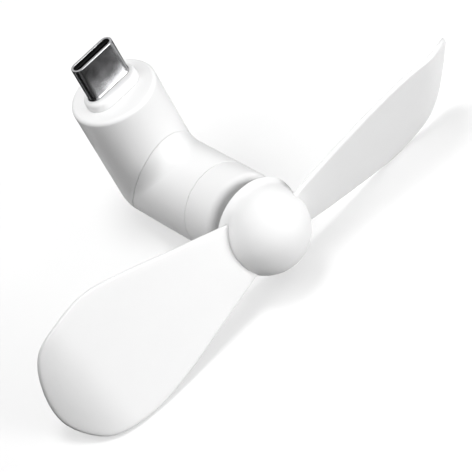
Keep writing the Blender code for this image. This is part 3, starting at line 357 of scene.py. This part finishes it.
def part_at_seam(bm, offset, keep_head, rounding=0.0):
    """Parts the elbow at the slanted plane, rounds the cut edge and closes it."""
    place = SEAM_AXIS * offset
    side = 1.0 if keep_head else -1.0
    bmesh.ops.bisect_plane(bm, geom=bm.verts[:] + bm.edges[:] + bm.faces[:], dist=WELD / 4, plane_co=place,
                           plane_no=SEAM_AXIS, clear_inner=keep_head, clear_outer=not keep_head)
    bmesh.ops.remove_doubles(bm, verts=bm.verts, dist=WELD)
    if rounding:
        depths = [rounding - out for out, _ in quarter(rounding, 6)][1:]
        for depth in depths:
            bmesh.ops.bisect_plane(bm, geom=bm.verts[:] + bm.edges[:] + bm.faces[:], dist=WELD / 4,
                                   plane_co=place + SEAM_AXIS * depth * side, plane_no=SEAM_AXIS)
        bm.normal_update()
        moves = []
        for vertex in bm.verts:
            depth = (vertex.co - place).dot(SEAM_AXIS) * side
            if depth < rounding:
                inward = vertex.normal - SEAM_AXIS * vertex.normal.dot(SEAM_AXIS)
                left = rounding - max(depth, 0.0)
                shift = rounding - math.sqrt(max(rounding ** 2 - left ** 2, 0.0))
                moves.append((vertex, inward.normalized() * shift))
        for vertex, move in moves:
            vertex.co -= move
    rim = [edge for edge in bm.edges if edge.is_boundary]
    bmesh.ops.edgeloop_fill(bm, edges=rim)
    return face_out(bm)


def collar_mouth(extra, bottom, top):
    half = COLLAR_HALF_THICKNESS - COLLAR_LEDGE + extra
    return racetrack_stack(COLLAR_REACH, [(half, bottom), (half, top)])


def make_plug_housing():
    far = BODY_RADIUS + BLEND + MOTOR_BACK
    seam = SEAM_OFFSET - SEAM_GAP
    bm = elbow(BODY_RADIUS, BLEND, SHOULDER, far, top_fillet=SHOULDER_FILLET)
    part_at_seam(bm, seam, False, SEAM_ROUND)
    obj = piece("plug_housing_shell", bm, BODY, "plug_body", "white_shell", ["plug_housing"])
    hollow = elbow(BODY_RADIUS - BODY_WALL, BLEND + BODY_WALL, SHOULDER - BODY_WALL, far, steps=10)
    part_at_seam(hollow, seam - END_WALL, False)
    carve(obj, hollow, BODY)
    carve(obj, collar_mouth(COLLAR_CLEARANCE, SHOULDER - COLLAR_DEPTH, SHOULDER + CUT_OVERRUN), BODY)
    carve(obj, disc(RIVET_RADIUS + RIVET_RUNNING_GAP, -2.3 * MM, CUT_OVERRUN), SWIVEL)
    half = STOP_GROOVE_HALF_WIDTH
    slack = half / STOP_CIRCLE
    start = -math.pi / 2 - slack
    end = math.pi / 2 + slack
    groove = arc(STOP_CIRCLE + half, start, end, 48) + arc(STOP_CIRCLE - half, end, start, 48)
    carve(obj, plate(groove, -STOP_GROOVE_DEPTH, 1.0 * MM), SWIVEL)
    return obj


def make_head_housing():
    far = BODY_RADIUS + BLEND + MOTOR_BACK
    seam = SEAM_OFFSET + SEAM_GAP
    front = COVER_SEAM - SEAM_GAP
    bm = elbow(BODY_RADIUS, BLEND, far, front, front_fillet=SEAM_EDGE)
    part_at_seam(bm, seam, True, SEAM_ROUND)
    obj = piece("head_housing_shell", bm, BODY, "head", "white_shell", ["head_housing"])
    hollow = elbow(BODY_RADIUS - BODY_WALL, BLEND + BODY_WALL, far, front + CUT_OVERRUN, steps=10)
    part_at_seam(hollow, seam + END_WALL, True)
    carve(obj, hollow, BODY)
    carve(obj, disc(MOTOR_BORE, MOTOR_BACK - 0.2 * MM, front + CUT_OVERRUN), HEAD)
    carve(obj, disc(MOTOR_BORE + 0.5 * MM, COVER_SEAM - COVER_LIP - 0.2 * MM, front + CUT_OVERRUN), HEAD)
    carve(obj, disc(RIVET_RADIUS + RIVET_PRESSED_GAP, -1.0 * MM, 2.4 * MM), SWIVEL)
    pin = disc(STOP_PIN_RADIUS, -STOP_PIN_REACH, STOP_PIN_REACH, sides=24, soften=0.08 * MM)
    carve(obj, pin, SWIVEL @ Matrix.Translation((0, -STOP_CIRCLE, 0)), "UNION")
    return obj


def make_front_cover():
    hole = BOSS_RADIUS + 0.2 * MM
    chamfer = 0.1 * MM
    profile = [(hole, COVER_FACE - chamfer), (hole + chamfer, COVER_FACE)]
    front_corner = (BODY_RADIUS - COVER_FILLET, COVER_FACE - COVER_FILLET)
    profile += arc(COVER_FILLET, math.pi / 2, 0.0, 12, front_corner)
    rim = COVER_SEAM + SEAM_GAP
    profile += arc(SEAM_EDGE, 0.0, -math.pi / 2, 6, (BODY_RADIUS - SEAM_EDGE, rim + SEAM_EDGE))
    lip = MOTOR_BORE + 0.45 * MM
    lip_back = COVER_SEAM - COVER_LIP
    floor = MOTOR_FRONT + 0.2 * MM
    profile += [(lip, rim), (lip, lip_back + chamfer), (lip - chamfer, lip_back), (MOTOR_BORE, lip_back),
                (MOTOR_BORE, floor), (hole, floor)]
    return piece("front_cover_cap", turned(profile), HEAD, "head", "white_shell", ["front_cover"])


def make_collar():
    stem = COLLAR_HALF_THICKNESS - COLLAR_LEDGE
    seat = SHOULDER + 0.02 * MM
    sections = [(stem, PLUG_BOTTOM + 0.2 * MM), (stem, seat), (COLLAR_HALF_THICKNESS, seat)]
    for out, up in quarter(COLLAR_FILLET, 6):
        sections.append((COLLAR_HALF_THICKNESS - COLLAR_FILLET + out, COLLAR_TOP - COLLAR_FILLET + up))
    bm = racetrack_stack(COLLAR_REACH, sections, 32)
    obj = piece("collar_moulding", bm, BODY, "plug_body", "white_shell", ["plug_collar"])
    bore = PLUG_HALF_THICKNESS + 0.06 * MM
    ends = [(bore, PLUG_BOTTOM - 1.0 * MM), (bore, COLLAR_TOP + 1.0 * MM)]
    carve(obj, racetrack_stack(PLUG_REACH, ends), BODY)
    return obj


def make_plug_shell():
    """Drawn steel sleeve: a thin foot flange, and a front edge rolled in round the mouth."""
    wall = 0.2 * MM
    foot = 0.12 * MM
    foot_bottom = COLLAR_TOP + 0.02 * MM
    roll_out = 0.18 * MM
    roll_in = 0.16 * MM
    mouth = 0.42 * MM
    insets = [(0.0, PLUG_BOTTOM), (0.0, foot_bottom), (-foot * 0.7, foot_bottom),
              (-foot, foot_bottom + 0.06 * MM), (-foot, foot_bottom + 0.18 * MM),
              (-foot * 0.5, foot_bottom + 0.28 * MM), (0.0, foot_bottom + 0.4 * MM)]
    insets += [(roll_out - out, PLUG_TIP - roll_out + up) for out, up in quarter(roll_out, 7)]
    insets += [(mouth - roll_in + up, PLUG_TIP - roll_in + out) for out, up in quarter(roll_in, 6)]
    lip_end = PLUG_TIP - 0.5 * MM
    insets += [(mouth, lip_end), (wall, lip_end), (wall, PLUG_BOTTOM), (0.0, PLUG_BOTTOM)]
    sections = [(PLUG_HALF_THICKNESS - inset, height) for inset, height in insets]
    bm = racetrack_stack(PLUG_REACH, sections)
    return piece("plug_sleeve", bm, BODY, "plug_body", "plug_steel", ["plug_shell"])


SLOT_WIDTH = 6.75 * MM
SLOT_HEIGHT = 0.75 * MM
SLOT_DEPTH = 8.0 * MM
LATCH_SLIT = 0.35 * MM
CONTACT_GROOVE = (0.45 * MM, 0.32 * MM, 14.0 * MM)
CONTACT_PLACES = (-2.75 * MM, -1.25 * MM, -0.75 * MM, 0.75 * MM, 1.25 * MM, 2.75 * MM)


def make_insulator():
    """Black moulding inside the sleeve, with the slot that takes the socket's tongue."""
    half = PLUG_HALF_THICKNESS - 0.3 * MM
    top = PLUG_TIP - 0.58 * MM
    sections = [(half, PLUG_BOTTOM), (half, top - 0.1 * MM), (half - 0.1 * MM, top)]
    bm = racetrack_stack(PLUG_REACH, sections)
    obj = piece("plug_liner", bm, BODY, "plug_body", "black_plastic", ["plug_insulator"])
    floor = PLUG_TIP - 5.6 * MM
    carve(obj, block((SLOT_WIDTH, SLOT_HEIGHT, SLOT_DEPTH), (0, 0, floor + SLOT_DEPTH / 2)), BODY)
    groove_middle = PLUG_TIP - 1.3 * MM - CONTACT_GROOVE[2] / 2
    for x in CONTACT_PLACES:
        for side in (-1, 1):
            carve(obj, block(CONTACT_GROOVE, (x, side * 0.435 * MM, groove_middle)), BODY)
    arm = (SLOT_WIDTH + LATCH_SLIT) / 2
    for side in (-1, 1):
        slit = block((LATCH_SLIT, LATCH_SLIT, SLOT_DEPTH), (side * arm, 0, PLUG_TIP - 5.2 * MM))
        carve(obj, slit, BODY)
    carve(obj, block((2 * arm, LATCH_SLIT, 0.8 * MM), (0, 0, 18.985 * MM)), BODY)
    return obj


# Hub and blades

# The tip's reach from its own centre, every 30 degrees from -135 degrees on, as shares of its radius
BLADE_TIP_SHARES = (1.20, 1.03, 0.99, 1.08, 1.06, 1.10, 1.07, 0.94, 0.96, 1.20)


def flowing(points, steps):
    """Points along a smooth curve through the given ones."""
    route = []
    last = len(points) - 1
    for index in range(last):
        before, start = points[max(index - 1, 0)], points[index]
        end, after = points[index + 1], points[min(index + 2, last)]
        for step in range(steps):
            t = step / steps
            slope = (end - before) * t
            bend = (2 * before - 5 * start + 4 * end - after) * t ** 2
            twist = (3 * start - before - 3 * end + after) * t ** 3
            route.append((2 * start + slope + bend + twist) / 2)
    return route + [points[last]]


def blade_outline(grow):
    """Two straight flaring sides and a long round tip, fuller on its trailing side."""
    tip = []
    for index, share in enumerate(BLADE_TIP_SHARES):
        angle = math.radians(30.0 * index - 135.0)
        out = BLADE_TIP_RADIUS * share + grow
        along = BLADE_TIP_CENTRE + out * math.cos(angle)
        across = out * math.sin(angle) - BLADE_TIP_OFFSET
        tip.append(Vector((along, across, 0)))
    root = BLADE_ROOT - grow
    trail = Vector((root, -BLADE_TRAIL - grow, 0))
    lead = Vector((root, BLADE_LEAD + grow, 0))
    return [trail] + flowing(tip, 12) + [lead]


# How far in from the blade's edge, and half its thickness there, in millimetres
EDGE_RINGS = ((0.01, 0.16), (0.05, 0.26), (0.12, 0.34), (0.22, 0.395), (0.35, 0.425), (0.7, 0.438),
              (1.4, 0.446), (2.4, 0.45))
CUTS_ALONG_BLADE = 30
CUTS_AT_ROOT = 4
CUTS_ACROSS_EACH_WAY = 3
CUT_SPACING = 2.4 * MM


def blade_shape(grow=0.0):
    """Soft paddle: a flat outline ringed by insets that round its edge and thin it towards the rim."""
    bm = bmesh.new()
    face = bm.faces.new([bm.verts.new(point) for point in blade_outline(grow)])
    distance = 0.0
    for share, height in EDGE_RINGS:
        bmesh.ops.inset_region(bm, faces=[face], thickness=share * MM - distance, use_even_offset=True,
                               use_boundary=True)
        distance = share * MM
        for vertex in face.verts:
            vertex.co.z = height * MM + grow
    tip_end = max(vertex.co.x for vertex in bm.verts)
    for cut in range(1, CUTS_ALONG_BLADE):
        bisect(bm, (TWIST_START + (tip_end - TWIST_START) * cut / CUTS_ALONG_BLADE, 0, 0), (1, 0, 0))
    for cut in range(1, CUTS_AT_ROOT + 1):
        bisect(bm, (BLADE_ROOT + (TWIST_START - BLADE_ROOT) * cut / CUTS_AT_ROOT, 0, 0), (1, 0, 0))
    for cut in range(-CUTS_ACROSS_EACH_WAY, CUTS_ACROSS_EACH_WAY + 1):
        bisect(bm, (0, cut * CUT_SPACING - BLADE_TIP_OFFSET, 0), (0, 1, 0))
    everything = bm.verts[:] + bm.edges[:] + bm.faces[:]
    bmesh.ops.mirror(bm, geom=everything, matrix=Matrix.Identity(4), merge_dist=WELD, axis="Z")
    bmesh.ops.remove_doubles(bm, verts=bm.verts, dist=WELD / 2)
    face_out(bm)
    for vertex in bm.verts:
        sag = max(0.0, (vertex.co.x - CURL_START) / (tip_end - CURL_START))
        turn = BLADE_TWIST * max(0.0, (vertex.co.x - TWIST_START) / (tip_end - TWIST_START))
        vertex.co.z -= CURL_DROP * sag * sag
        vertex.co = Matrix.Rotation(turn, 3, "X") @ vertex.co
    return bm


def bisect(bm, place, normal):
    bmesh.ops.bisect_plane(bm, geom=bm.verts[:] + bm.edges[:] + bm.faces[:], dist=WELD / 4, plane_co=place,
                           plane_no=normal)


def blade_place(half_turn):
    lift = Matrix.Translation((0, 0, BLADE_PLACE))
    return ROTOR @ lift @ Matrix.Rotation(half_turn, 4, "Z") @ Matrix.Rotation(BLADE_PITCH, 4, "X")


def make_rotor():
    outer = arc(DOME_RADIUS, math.pi / 2, 0.0, 28, (0, DOME_CENTRE))
    skirt = DOME_CENTRE - HUB_BACK
    edge = 0.18 * MM
    for step in range(1, 9):
        share = step / 8
        outer.append((DOME_RADIUS + SKIRT_FLARE * share * share, DOME_CENTRE - (skirt - edge) * share))
    rim = DOME_RADIUS + SKIRT_FLARE
    outer += arc(edge, 0.0, -math.pi / 2, 4, (rim - edge, HUB_BACK + edge))[1:]
    inner_radius = DOME_RADIUS - DOME_WALL
    inner = [(inner_radius, HUB_BACK)] + arc(inner_radius, 0.0, math.pi / 2, 20, (0, DOME_CENTRE))
    dome = piece("hub_dome_cap", turned(outer + inner), ROTOR, "rotor", "soft_white", ["hub_dome"])
    plate_radius = inner_radius - 0.15 * MM
    profile = [(0, CORE_FRONT), (CORE_BOSS, CORE_FRONT), (CORE_BOSS, CORE_PLATE),
               (plate_radius, CORE_PLATE), (plate_radius, HUB_BACK), (SHAFT_BORE, HUB_BACK),
               (SHAFT_BORE, SHAFT_BORE_END), (0, SHAFT_BORE_END)]
    bm = turned(profile, soften=0.12 * MM)
    core = piece("hub_core_moulding", bm, ROTOR, "rotor", "white_shell", ["hub_core"])
    for name, half_turn in (("blade_right", 0.0), ("blade_left", math.pi)):
        place = blade_place(half_turn)
        carve(dome, blade_shape(grow=0.02 * MM), place)
        carve(core, blade_shape(grow=0.1 * MM), place)
        piece(name + "_paddle", blade_shape(), place, "rotor", "soft_white", [name])


# Materials

COLOUR = "NodeSocketColor"
NUMBER = "NodeSocketFloat"
ARROW = "NodeSocketVector"


def new_group(name, inputs, outputs):
    tree = bpy.data.node_groups.new(name, "ShaderNodeTree")
    for label, kind, value in inputs:
        socket = tree.interface.new_socket(name=label, in_out="INPUT", socket_type=kind)
        socket.default_value = value
    for label, kind in outputs:
        tree.interface.new_socket(name=label, in_out="OUTPUT", socket_type=kind)
    return tree, tree.nodes.new("NodeGroupInput"), tree.nodes.new("NodeGroupOutput")


def mottle_group():
    """Slight cloudy change of a colour, as in moulded and worked stock."""
    tree, given, result = new_group(
        "mottle", [("Colour", COLOUR, (1, 1, 1, 1)), ("Scale", NUMBER, 200.0), ("Amount", NUMBER, 0.03)],
        [("Colour", COLOUR)])
    place = tree.nodes.new("ShaderNodeTexCoord")
    cloud = tree.nodes.new("ShaderNodeTexNoise")
    cloud.inputs["Detail"].default_value = 3.0
    low = tree.nodes.new("ShaderNodeMath")
    low.operation = "SUBTRACT"
    low.inputs[0].default_value = 1.0
    span = tree.nodes.new("ShaderNodeMapRange")
    tone = tree.nodes.new("ShaderNodeMix")
    tone.data_type = "RGBA"
    tone.blend_type = "MULTIPLY"
    tone.inputs["Factor"].default_value = 1.0
    tree.links.new(place.outputs["Object"], cloud.inputs["Vector"])
    tree.links.new(given.outputs["Scale"], cloud.inputs["Scale"])
    tree.links.new(given.outputs["Amount"], low.inputs[1])
    tree.links.new(cloud.outputs["Fac"], span.inputs["Value"])
    tree.links.new(low.outputs["Value"], span.inputs["To Min"])
    tree.links.new(given.outputs["Colour"], tone.inputs["A"])
    tree.links.new(span.outputs["Result"], tone.inputs["B"])
    tree.links.new(tone.outputs["Result"], result.inputs["Colour"])
    return tree


def sheen_group():
    """Roughness that wanders a little, as handling and moulding leave it."""
    tree, given, result = new_group(
        "uneven_gloss", [("Low", NUMBER, 0.4), ("High", NUMBER, 0.5), ("Scale", NUMBER, 400.0)],
        [("Roughness", NUMBER)])
    place = tree.nodes.new("ShaderNodeTexCoord")
    cloud = tree.nodes.new("ShaderNodeTexNoise")
    cloud.inputs["Detail"].default_value = 4.0
    span = tree.nodes.new("ShaderNodeMapRange")
    span.inputs["From Min"].default_value = 0.3
    span.inputs["From Max"].default_value = 0.7
    tree.links.new(place.outputs["Object"], cloud.inputs["Vector"])
    tree.links.new(given.outputs["Scale"], cloud.inputs["Scale"])
    tree.links.new(cloud.outputs["Fac"], span.inputs["Value"])
    tree.links.new(given.outputs["Low"], span.inputs["To Min"])
    tree.links.new(given.outputs["High"], span.inputs["To Max"])
    tree.links.new(span.outputs["Result"], result.inputs["Roughness"])
    return tree


def grain_group():
    """Fine moulded or brushed grain: stretched noise that tips the normal."""
    tree, given, result = new_group(
        "surface_grain",
        [("Scale", NUMBER, 9000.0), ("Stretch", ARROW, (1, 1, 1)), ("Strength", NUMBER, 0.1),
         ("Depth", NUMBER, 0.00001)],
        [("Normal", ARROW), ("Mask", NUMBER)])
    place = tree.nodes.new("ShaderNodeTexCoord")
    drawn = tree.nodes.new("ShaderNodeMapping")
    drawn.vector_type = "POINT"
    noise = tree.nodes.new("ShaderNodeTexNoise")
    noise.inputs["Detail"].default_value = 2.0
    bump = tree.nodes.new("ShaderNodeBump")
    tree.links.new(place.outputs["Object"], drawn.inputs["Vector"])
    tree.links.new(given.outputs["Stretch"], drawn.inputs["Scale"])
    tree.links.new(drawn.outputs["Vector"], noise.inputs["Vector"])
    tree.links.new(given.outputs["Scale"], noise.inputs["Scale"])
    tree.links.new(noise.outputs["Fac"], bump.inputs["Height"])
    tree.links.new(given.outputs["Strength"], bump.inputs["Strength"])
    tree.links.new(given.outputs["Depth"], bump.inputs["Distance"])
    tree.links.new(bump.outputs["Normal"], result.inputs["Normal"])
    tree.links.new(noise.outputs["Fac"], result.inputs["Mask"])
    return tree


MOTTLE = mottle_group()
SHEEN = sheen_group()
GRAIN = grain_group()


def finish(name, colour, metal=0.0, gloss=(0.4, 0.5), cloud=(300.0, 0.03), grain=(9000.0, 0.08, 8e-6),
           stretch=(1, 1, 1), fixed=()):
    """A material from the three shared effects, with any fixed values straight on its shader."""
    material = bpy.data.materials.new(name)
    material.use_nodes = True
    nodes = material.node_tree.nodes
    links = material.node_tree.links
    shader = nodes["Principled BSDF"]
    shader.inputs["Metallic"].default_value = metal
    for label, value in fixed:
        shader.inputs[label].default_value = value
    tone = nodes.new("ShaderNodeGroup")
    tone.node_tree = MOTTLE
    tone.inputs["Colour"].default_value = (*colour, 1.0)
    tone.inputs["Scale"].default_value = cloud[0]
    tone.inputs["Amount"].default_value = cloud[1]
    rough = nodes.new("ShaderNodeGroup")
    rough.node_tree = SHEEN
    rough.inputs["Low"].default_value = gloss[0]
    rough.inputs["High"].default_value = gloss[1]
    texture = nodes.new("ShaderNodeGroup")
    texture.node_tree = GRAIN
    texture.inputs["Scale"].default_value = grain[0]
    texture.inputs["Strength"].default_value = grain[1]
    texture.inputs["Depth"].default_value = grain[2]
    texture.inputs["Stretch"].default_value = stretch
    links.new(tone.outputs["Colour"], shader.inputs["Base Color"])
    links.new(rough.outputs["Roughness"], shader.inputs["Roughness"])
    links.new(texture.outputs["Normal"], shader.inputs["Normal"])
    return material


FINISH = {
    "white_shell": finish(
        "white_shell_moulded", (0.86, 0.86, 0.86), gloss=(0.38, 0.5), cloud=(250.0, 0.015),
        grain=(14000.0, 0.06, 4e-6), fixed=[("Specular IOR Level", 0.4)]),
    "soft_white": finish(
        "soft_white_silicone", (0.85, 0.85, 0.85), gloss=(0.55, 0.68), cloud=(180.0, 0.02),
        grain=(9000.0, 0.08, 6e-6),
        fixed=[("Specular IOR Level", 0.35), ("Subsurface Weight", 0.6),
               ("Subsurface Radius", (1.0, 1.0, 1.0)), ("Subsurface Scale", 0.0006)]),
    "plug_steel": finish(
        "plug_steel_drawn", (0.42, 0.42, 0.43), metal=1.0, gloss=(0.17, 0.25), cloud=(900.0, 0.12),
        grain=(5200.0, 0.25, 3e-6), stretch=(1, 1, 0.12)),
    "black_plastic": finish(
        "black_plastic_moulded", (0.006, 0.006, 0.006), gloss=(0.4, 0.55), cloud=(800.0, 0.2),
        fixed=[("Specular IOR Level", 0.15)]),
    "contact_gold": finish(
        "contact_gold_plate", (0.86, 0.64, 0.27), metal=1.0, gloss=(0.2, 0.32), cloud=(1500.0, 0.08)),
    "board_green": finish(
        "board_green_laminate", (0.03, 0.17, 0.085), gloss=(0.3, 0.42), cloud=(1800.0, 0.25)),
    "bronze": finish(
        "bronze_sintered", (0.55, 0.36, 0.18), metal=1.0, gloss=(0.4, 0.55), cloud=(3000.0, 0.25),
        grain=(9000.0, 0.4, 1.5e-5)),
    "bright_steel": finish(
        "bright_steel_turned", (0.62, 0.62, 0.63), metal=1.0, gloss=(0.22, 0.34), cloud=(700.0, 0.08),
        grain=(6000.0, 0.2, 3e-6), stretch=(1, 0.1, 1)),
    "magnet_grey": finish(
        "magnet_grey_sintered", (0.08, 0.08, 0.09), metal=0.2, gloss=(0.5, 0.7), cloud=(2500.0, 0.35),
        grain=(7000.0, 0.5, 2e-5)),
    "copper": finish(
        "copper_enamelled", (0.72, 0.33, 0.16), metal=1.0, gloss=(0.25, 0.38), cloud=(1200.0, 0.15)),
    "cream_plastic": finish(
        "cream_plastic_moulded", (0.62, 0.6, 0.53), gloss=(0.42, 0.55), cloud=(500.0, 0.06)),
    "red_lead": finish(
        "red_lead_sleeve", (0.55, 0.03, 0.03), gloss=(0.35, 0.5), cloud=(900.0, 0.1)),
    "black_lead": finish(
        "black_lead_sleeve", (0.015, 0.015, 0.016), gloss=(0.35, 0.5), cloud=(900.0, 0.2)),
}


def dress_frame_nodes():
    """CAD nodes that stay as they are take the finer material of their own slot."""
    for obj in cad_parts.values():
        for slot in obj.material_slots:
            label = slot.material.name.split(".")[0] if slot.material else ""
            if label in FINISH:
                slot.material = FINISH[label]


# Floor, light and camera

# The fan rests on three points: the lower edges of both blades and the back of the elbow
REST_HEIGHT = 4.2 * MM
REST_UP = Vector((0.1124, -0.0948, 0.9891))
REST_LEAN = Vector((0, 0, 1)).rotation_difference(REST_UP).to_matrix().to_4x4()
REST = Matrix.Translation((0, 0, REST_HEIGHT)) @ REST_LEAN

WHITE = (1, 1, 1, 1)
BLACK = (0, 0, 0, 1)
CARD_BLACK = (0.01, 0.01, 0.01, 1)

# Floor: what light sees of it, its glow near the fan, and where it turns to an even glow
FLOOR_HALF_SIZE = 3.0
FLOOR_TO_LIGHT = (0.2, 0.2, 0.2, 1)
FLOOR_GLOW = 0.117
FLOOR_CLEAR = 0.4
GLOW_NEAR = 48 * MM
GLOW_FAR = 85 * MM


def straight_rays(nodes, links):
    """One for rays that see the surface straight, in a reflection or through glass, else zero."""
    path = nodes.new("ShaderNodeLightPath")
    seen = nodes.new("ShaderNodeMath")
    seen.operation = "MAXIMUM"
    also = nodes.new("ShaderNodeMath")
    also.operation = "MAXIMUM"
    links.new(path.outputs["Is Camera Ray"], seen.inputs[0])
    links.new(path.outputs["Is Glossy Ray"], seen.inputs[1])
    links.new(seen.outputs["Value"], also.inputs[0])
    links.new(path.outputs["Is Transmission Ray"], also.inputs[1])
    return also.outputs["Value"]


def distance_share(nodes, links, near, far):
    """Zero up to a distance from the object's own middle, and rising to one at a further one."""
    place = nodes.new("ShaderNodeTexCoord")
    reach = nodes.new("ShaderNodeVectorMath")
    reach.operation = "LENGTH"
    share = nodes.new("ShaderNodeMapRange")
    share.inputs["From Min"].default_value = near
    share.inputs["From Max"].default_value = far
    links.new(place.outputs["Object"], reach.inputs[0])
    links.new(reach.outputs["Value"], share.inputs["Value"])
    return share.outputs["Result"]


def floor_material():
    """White that takes the fan's shadow and turns to an even glow away from it.

    It is part clear to the eye, so that a head or blade turned below it still shows."""
    material = bpy.data.materials.new("floor_white")
    material.use_nodes = True
    nodes = material.node_tree.nodes
    links = material.node_tree.links
    nodes.remove(nodes["Principled BSDF"])
    straight = straight_rays(nodes, links)
    away = distance_share(nodes, links, GLOW_NEAR, GLOW_FAR)
    lit = nodes.new("ShaderNodeMix")
    lit.data_type = "RGBA"
    lit.inputs["A"].default_value = WHITE
    lit.inputs["B"].default_value = BLACK
    tone = nodes.new("ShaderNodeMix")
    tone.data_type = "RGBA"
    tone.inputs["A"].default_value = FLOOR_TO_LIGHT
    matte = nodes.new("ShaderNodeBsdfDiffuse")
    links.new(away, lit.inputs["Factor"])
    links.new(straight, tone.inputs["Factor"])
    links.new(lit.outputs["Result"], tone.inputs["B"])
    links.new(tone.outputs["Result"], matte.inputs["Color"])
    fill = nodes.new("ShaderNodeMapRange")
    fill.inputs["To Min"].default_value = FLOOR_GLOW
    fill.inputs["To Max"].default_value = 1.0
    strength = nodes.new("ShaderNodeMath")
    strength.operation = "MULTIPLY"
    glow = nodes.new("ShaderNodeEmission")
    glow.inputs["Color"].default_value = WHITE
    links.new(away, fill.inputs["Value"])
    links.new(straight, strength.inputs[0])
    links.new(fill.outputs["Result"], strength.inputs[1])
    links.new(strength.outputs["Value"], glow.inputs["Strength"])
    both = nodes.new("ShaderNodeAddShader")
    links.new(matte.outputs["BSDF"], both.inputs[0])
    links.new(glow.outputs["Emission"], both.inputs[1])
    clear = nodes.new("ShaderNodeBsdfTransparent")
    clear_share = nodes.new("ShaderNodeMath")
    clear_share.operation = "MULTIPLY"
    clear_share.inputs[1].default_value = FLOOR_CLEAR
    seen = nodes.new("ShaderNodeMixShader")
    links.new(straight, clear_share.inputs[0])
    links.new(clear_share.outputs["Value"], seen.inputs["Fac"])
    links.new(both.outputs["Shader"], seen.inputs[1])
    links.new(clear.outputs["BSDF"], seen.inputs[2])
    links.new(seen.outputs["Shader"], nodes["Material Output"].inputs["Surface"])
    return material


def flat_piece(name, half_size, shape, place, material):
    """A flat square for the stage, stretched to a shape and put in its place."""
    bm = bmesh.new()
    bmesh.ops.create_grid(bm, x_segments=1, y_segments=1, size=half_size)
    bmesh.ops.scale(bm, verts=bm.verts, vec=(*shape, 1))
    mesh = bpy.data.meshes.new(name)
    bm.to_mesh(mesh)
    bm.free()
    mesh.materials.append(material)
    obj = bpy.data.objects.new(name, mesh)
    bpy.context.scene.collection.objects.link(obj)
    obj.matrix_world = place
    return obj


def make_floor():
    floor = flat_piece("floor", FLOOR_HALF_SIZE, (1, 1), REST, floor_material())


# Lamps: name, place, size, power, and whether they show in reflections
LAMPS = (
    ("window_light", (0.253, -0.542, 0.067), 0.3, 2.65, True),
    ("back_light", (-0.36, 0.08, 0.46), 0.6, 2.2, False),
    ("top_light", (0.06, -0.02, 0.61), 0.2, 1.15, False),
)
LIGHT_TARGET = Vector((0, 0, 0.015))
WORLD_LIGHT = 0.38
WORLD_SEEN = 1.0

# Cards that only darken reflections: name, size and place from the floor
DARK_CARDS = (
    ("front_card", (0.3, 0.25), (0.02, -0.156, 0.001)),
    ("left_card", (0.08, 0.07), (-0.06, -0.005, 0.0012)),
    ("right_card", (0.04, 0.05), (0.055, 0.03, 0.0012)),
    ("back_card", (0.3, 0.25), (-0.02, 0.16, 0.001)),
)


def lamp(name, place, size, power, shine):
    light = bpy.data.lights.new(name, "AREA")
    light.shape = "DISK"
    light.size = size
    light.energy = power
    obj = bpy.data.objects.new(name, light)
    bpy.context.scene.collection.objects.link(obj)
    aim = LIGHT_TARGET - Vector(place)
    obj.matrix_world = Matrix.Translation(place) @ aim.to_track_quat("-Z", "Y").to_matrix().to_4x4()
    obj.visible_camera = False
    obj.visible_glossy = shine


def dark_card(name, size, place, turn=0.0, blocks_light=False):
    """A black card out of sight: it darkens reflections, or shades the object."""
    material = bpy.data.materials.new(name + "_black")
    material.use_nodes = True
    nodes = material.node_tree.nodes
    nodes.remove(nodes["Principled BSDF"])
    matte = nodes.new("ShaderNodeBsdfDiffuse")
    matte.inputs["Color"].default_value = CARD_BLACK
    material.node_tree.links.new(matte.outputs["BSDF"], nodes["Material Output"].inputs["Surface"])
    stand = REST @ Matrix.Translation(place) @ Matrix.Rotation(turn, 4, "Y")
    card = flat_piece(name, 0.5, size, stand, material)
    card.visible_camera = False
    card.visible_transmission = False
    card.visible_diffuse = blocks_light
    card.visible_shadow = blocks_light


def make_world():
    """Dim white that lights the object, seen as full white."""
    world = bpy.data.worlds.new("studio")
    bpy.context.scene.world = world
    world.use_nodes = True
    nodes = world.node_tree.nodes
    links = world.node_tree.links
    plain = nodes["Background"]
    plain.inputs["Color"].default_value = WHITE
    plain.inputs["Strength"].default_value = WORLD_LIGHT
    white = nodes.new("ShaderNodeBackground")
    white.inputs["Color"].default_value = WHITE
    white.inputs["Strength"].default_value = WORLD_SEEN
    mix = nodes.new("ShaderNodeMixShader")
    links.new(straight_rays(nodes, links), mix.inputs["Fac"])
    links.new(plain.outputs["Background"], mix.inputs[1])
    links.new(white.outputs["Background"], mix.inputs[2])
    links.new(mix.outputs["Shader"], nodes["World Output"].inputs["Surface"])


def make_light():
    make_world()
    for values in LAMPS:
        lamp(*values)
    dark_card("side_flag", (0.075, 0.34), (-0.10, 0, 0.039), math.pi / 2, blocks_light=True)
    for values in DARK_CARDS:
        dark_card(*values)


# Camera, fitted to the photograph
CAMERA_PLACE = Vector((-0.105184, -0.284492, 0.246476))
CAMERA_TURN = Matrix(((0.687334, 0.673168, -0.272794), (-0.622173, 0.351861, -0.699353),
                      (-0.374799, 0.650415, 0.660671)))
CAMERA_LENS = 183.05
CAMERA_SENSOR = 36.0


def make_camera():
    data = bpy.data.cameras.new("photo_camera")
    camera = bpy.data.objects.new("photo_camera", data)
    bpy.context.scene.collection.objects.link(camera)
    camera.matrix_world = Matrix.Translation(ELBOW + CAMERA_PLACE) @ CAMERA_TURN.to_4x4()
    data.lens = CAMERA_LENS
    data.sensor_width = CAMERA_SENSOR
    data.clip_start = 0.01
    data.clip_end = 10.0
    bpy.context.scene.camera = camera


make_plug_housing()
make_head_housing()
make_front_cover()
make_collar()
make_plug_shell()
make_insulator()
make_rotor()
dress_frame_nodes()
make_floor()
make_light()
make_camera()
bpy.context.scene.view_settings.view_transform = "Standard"
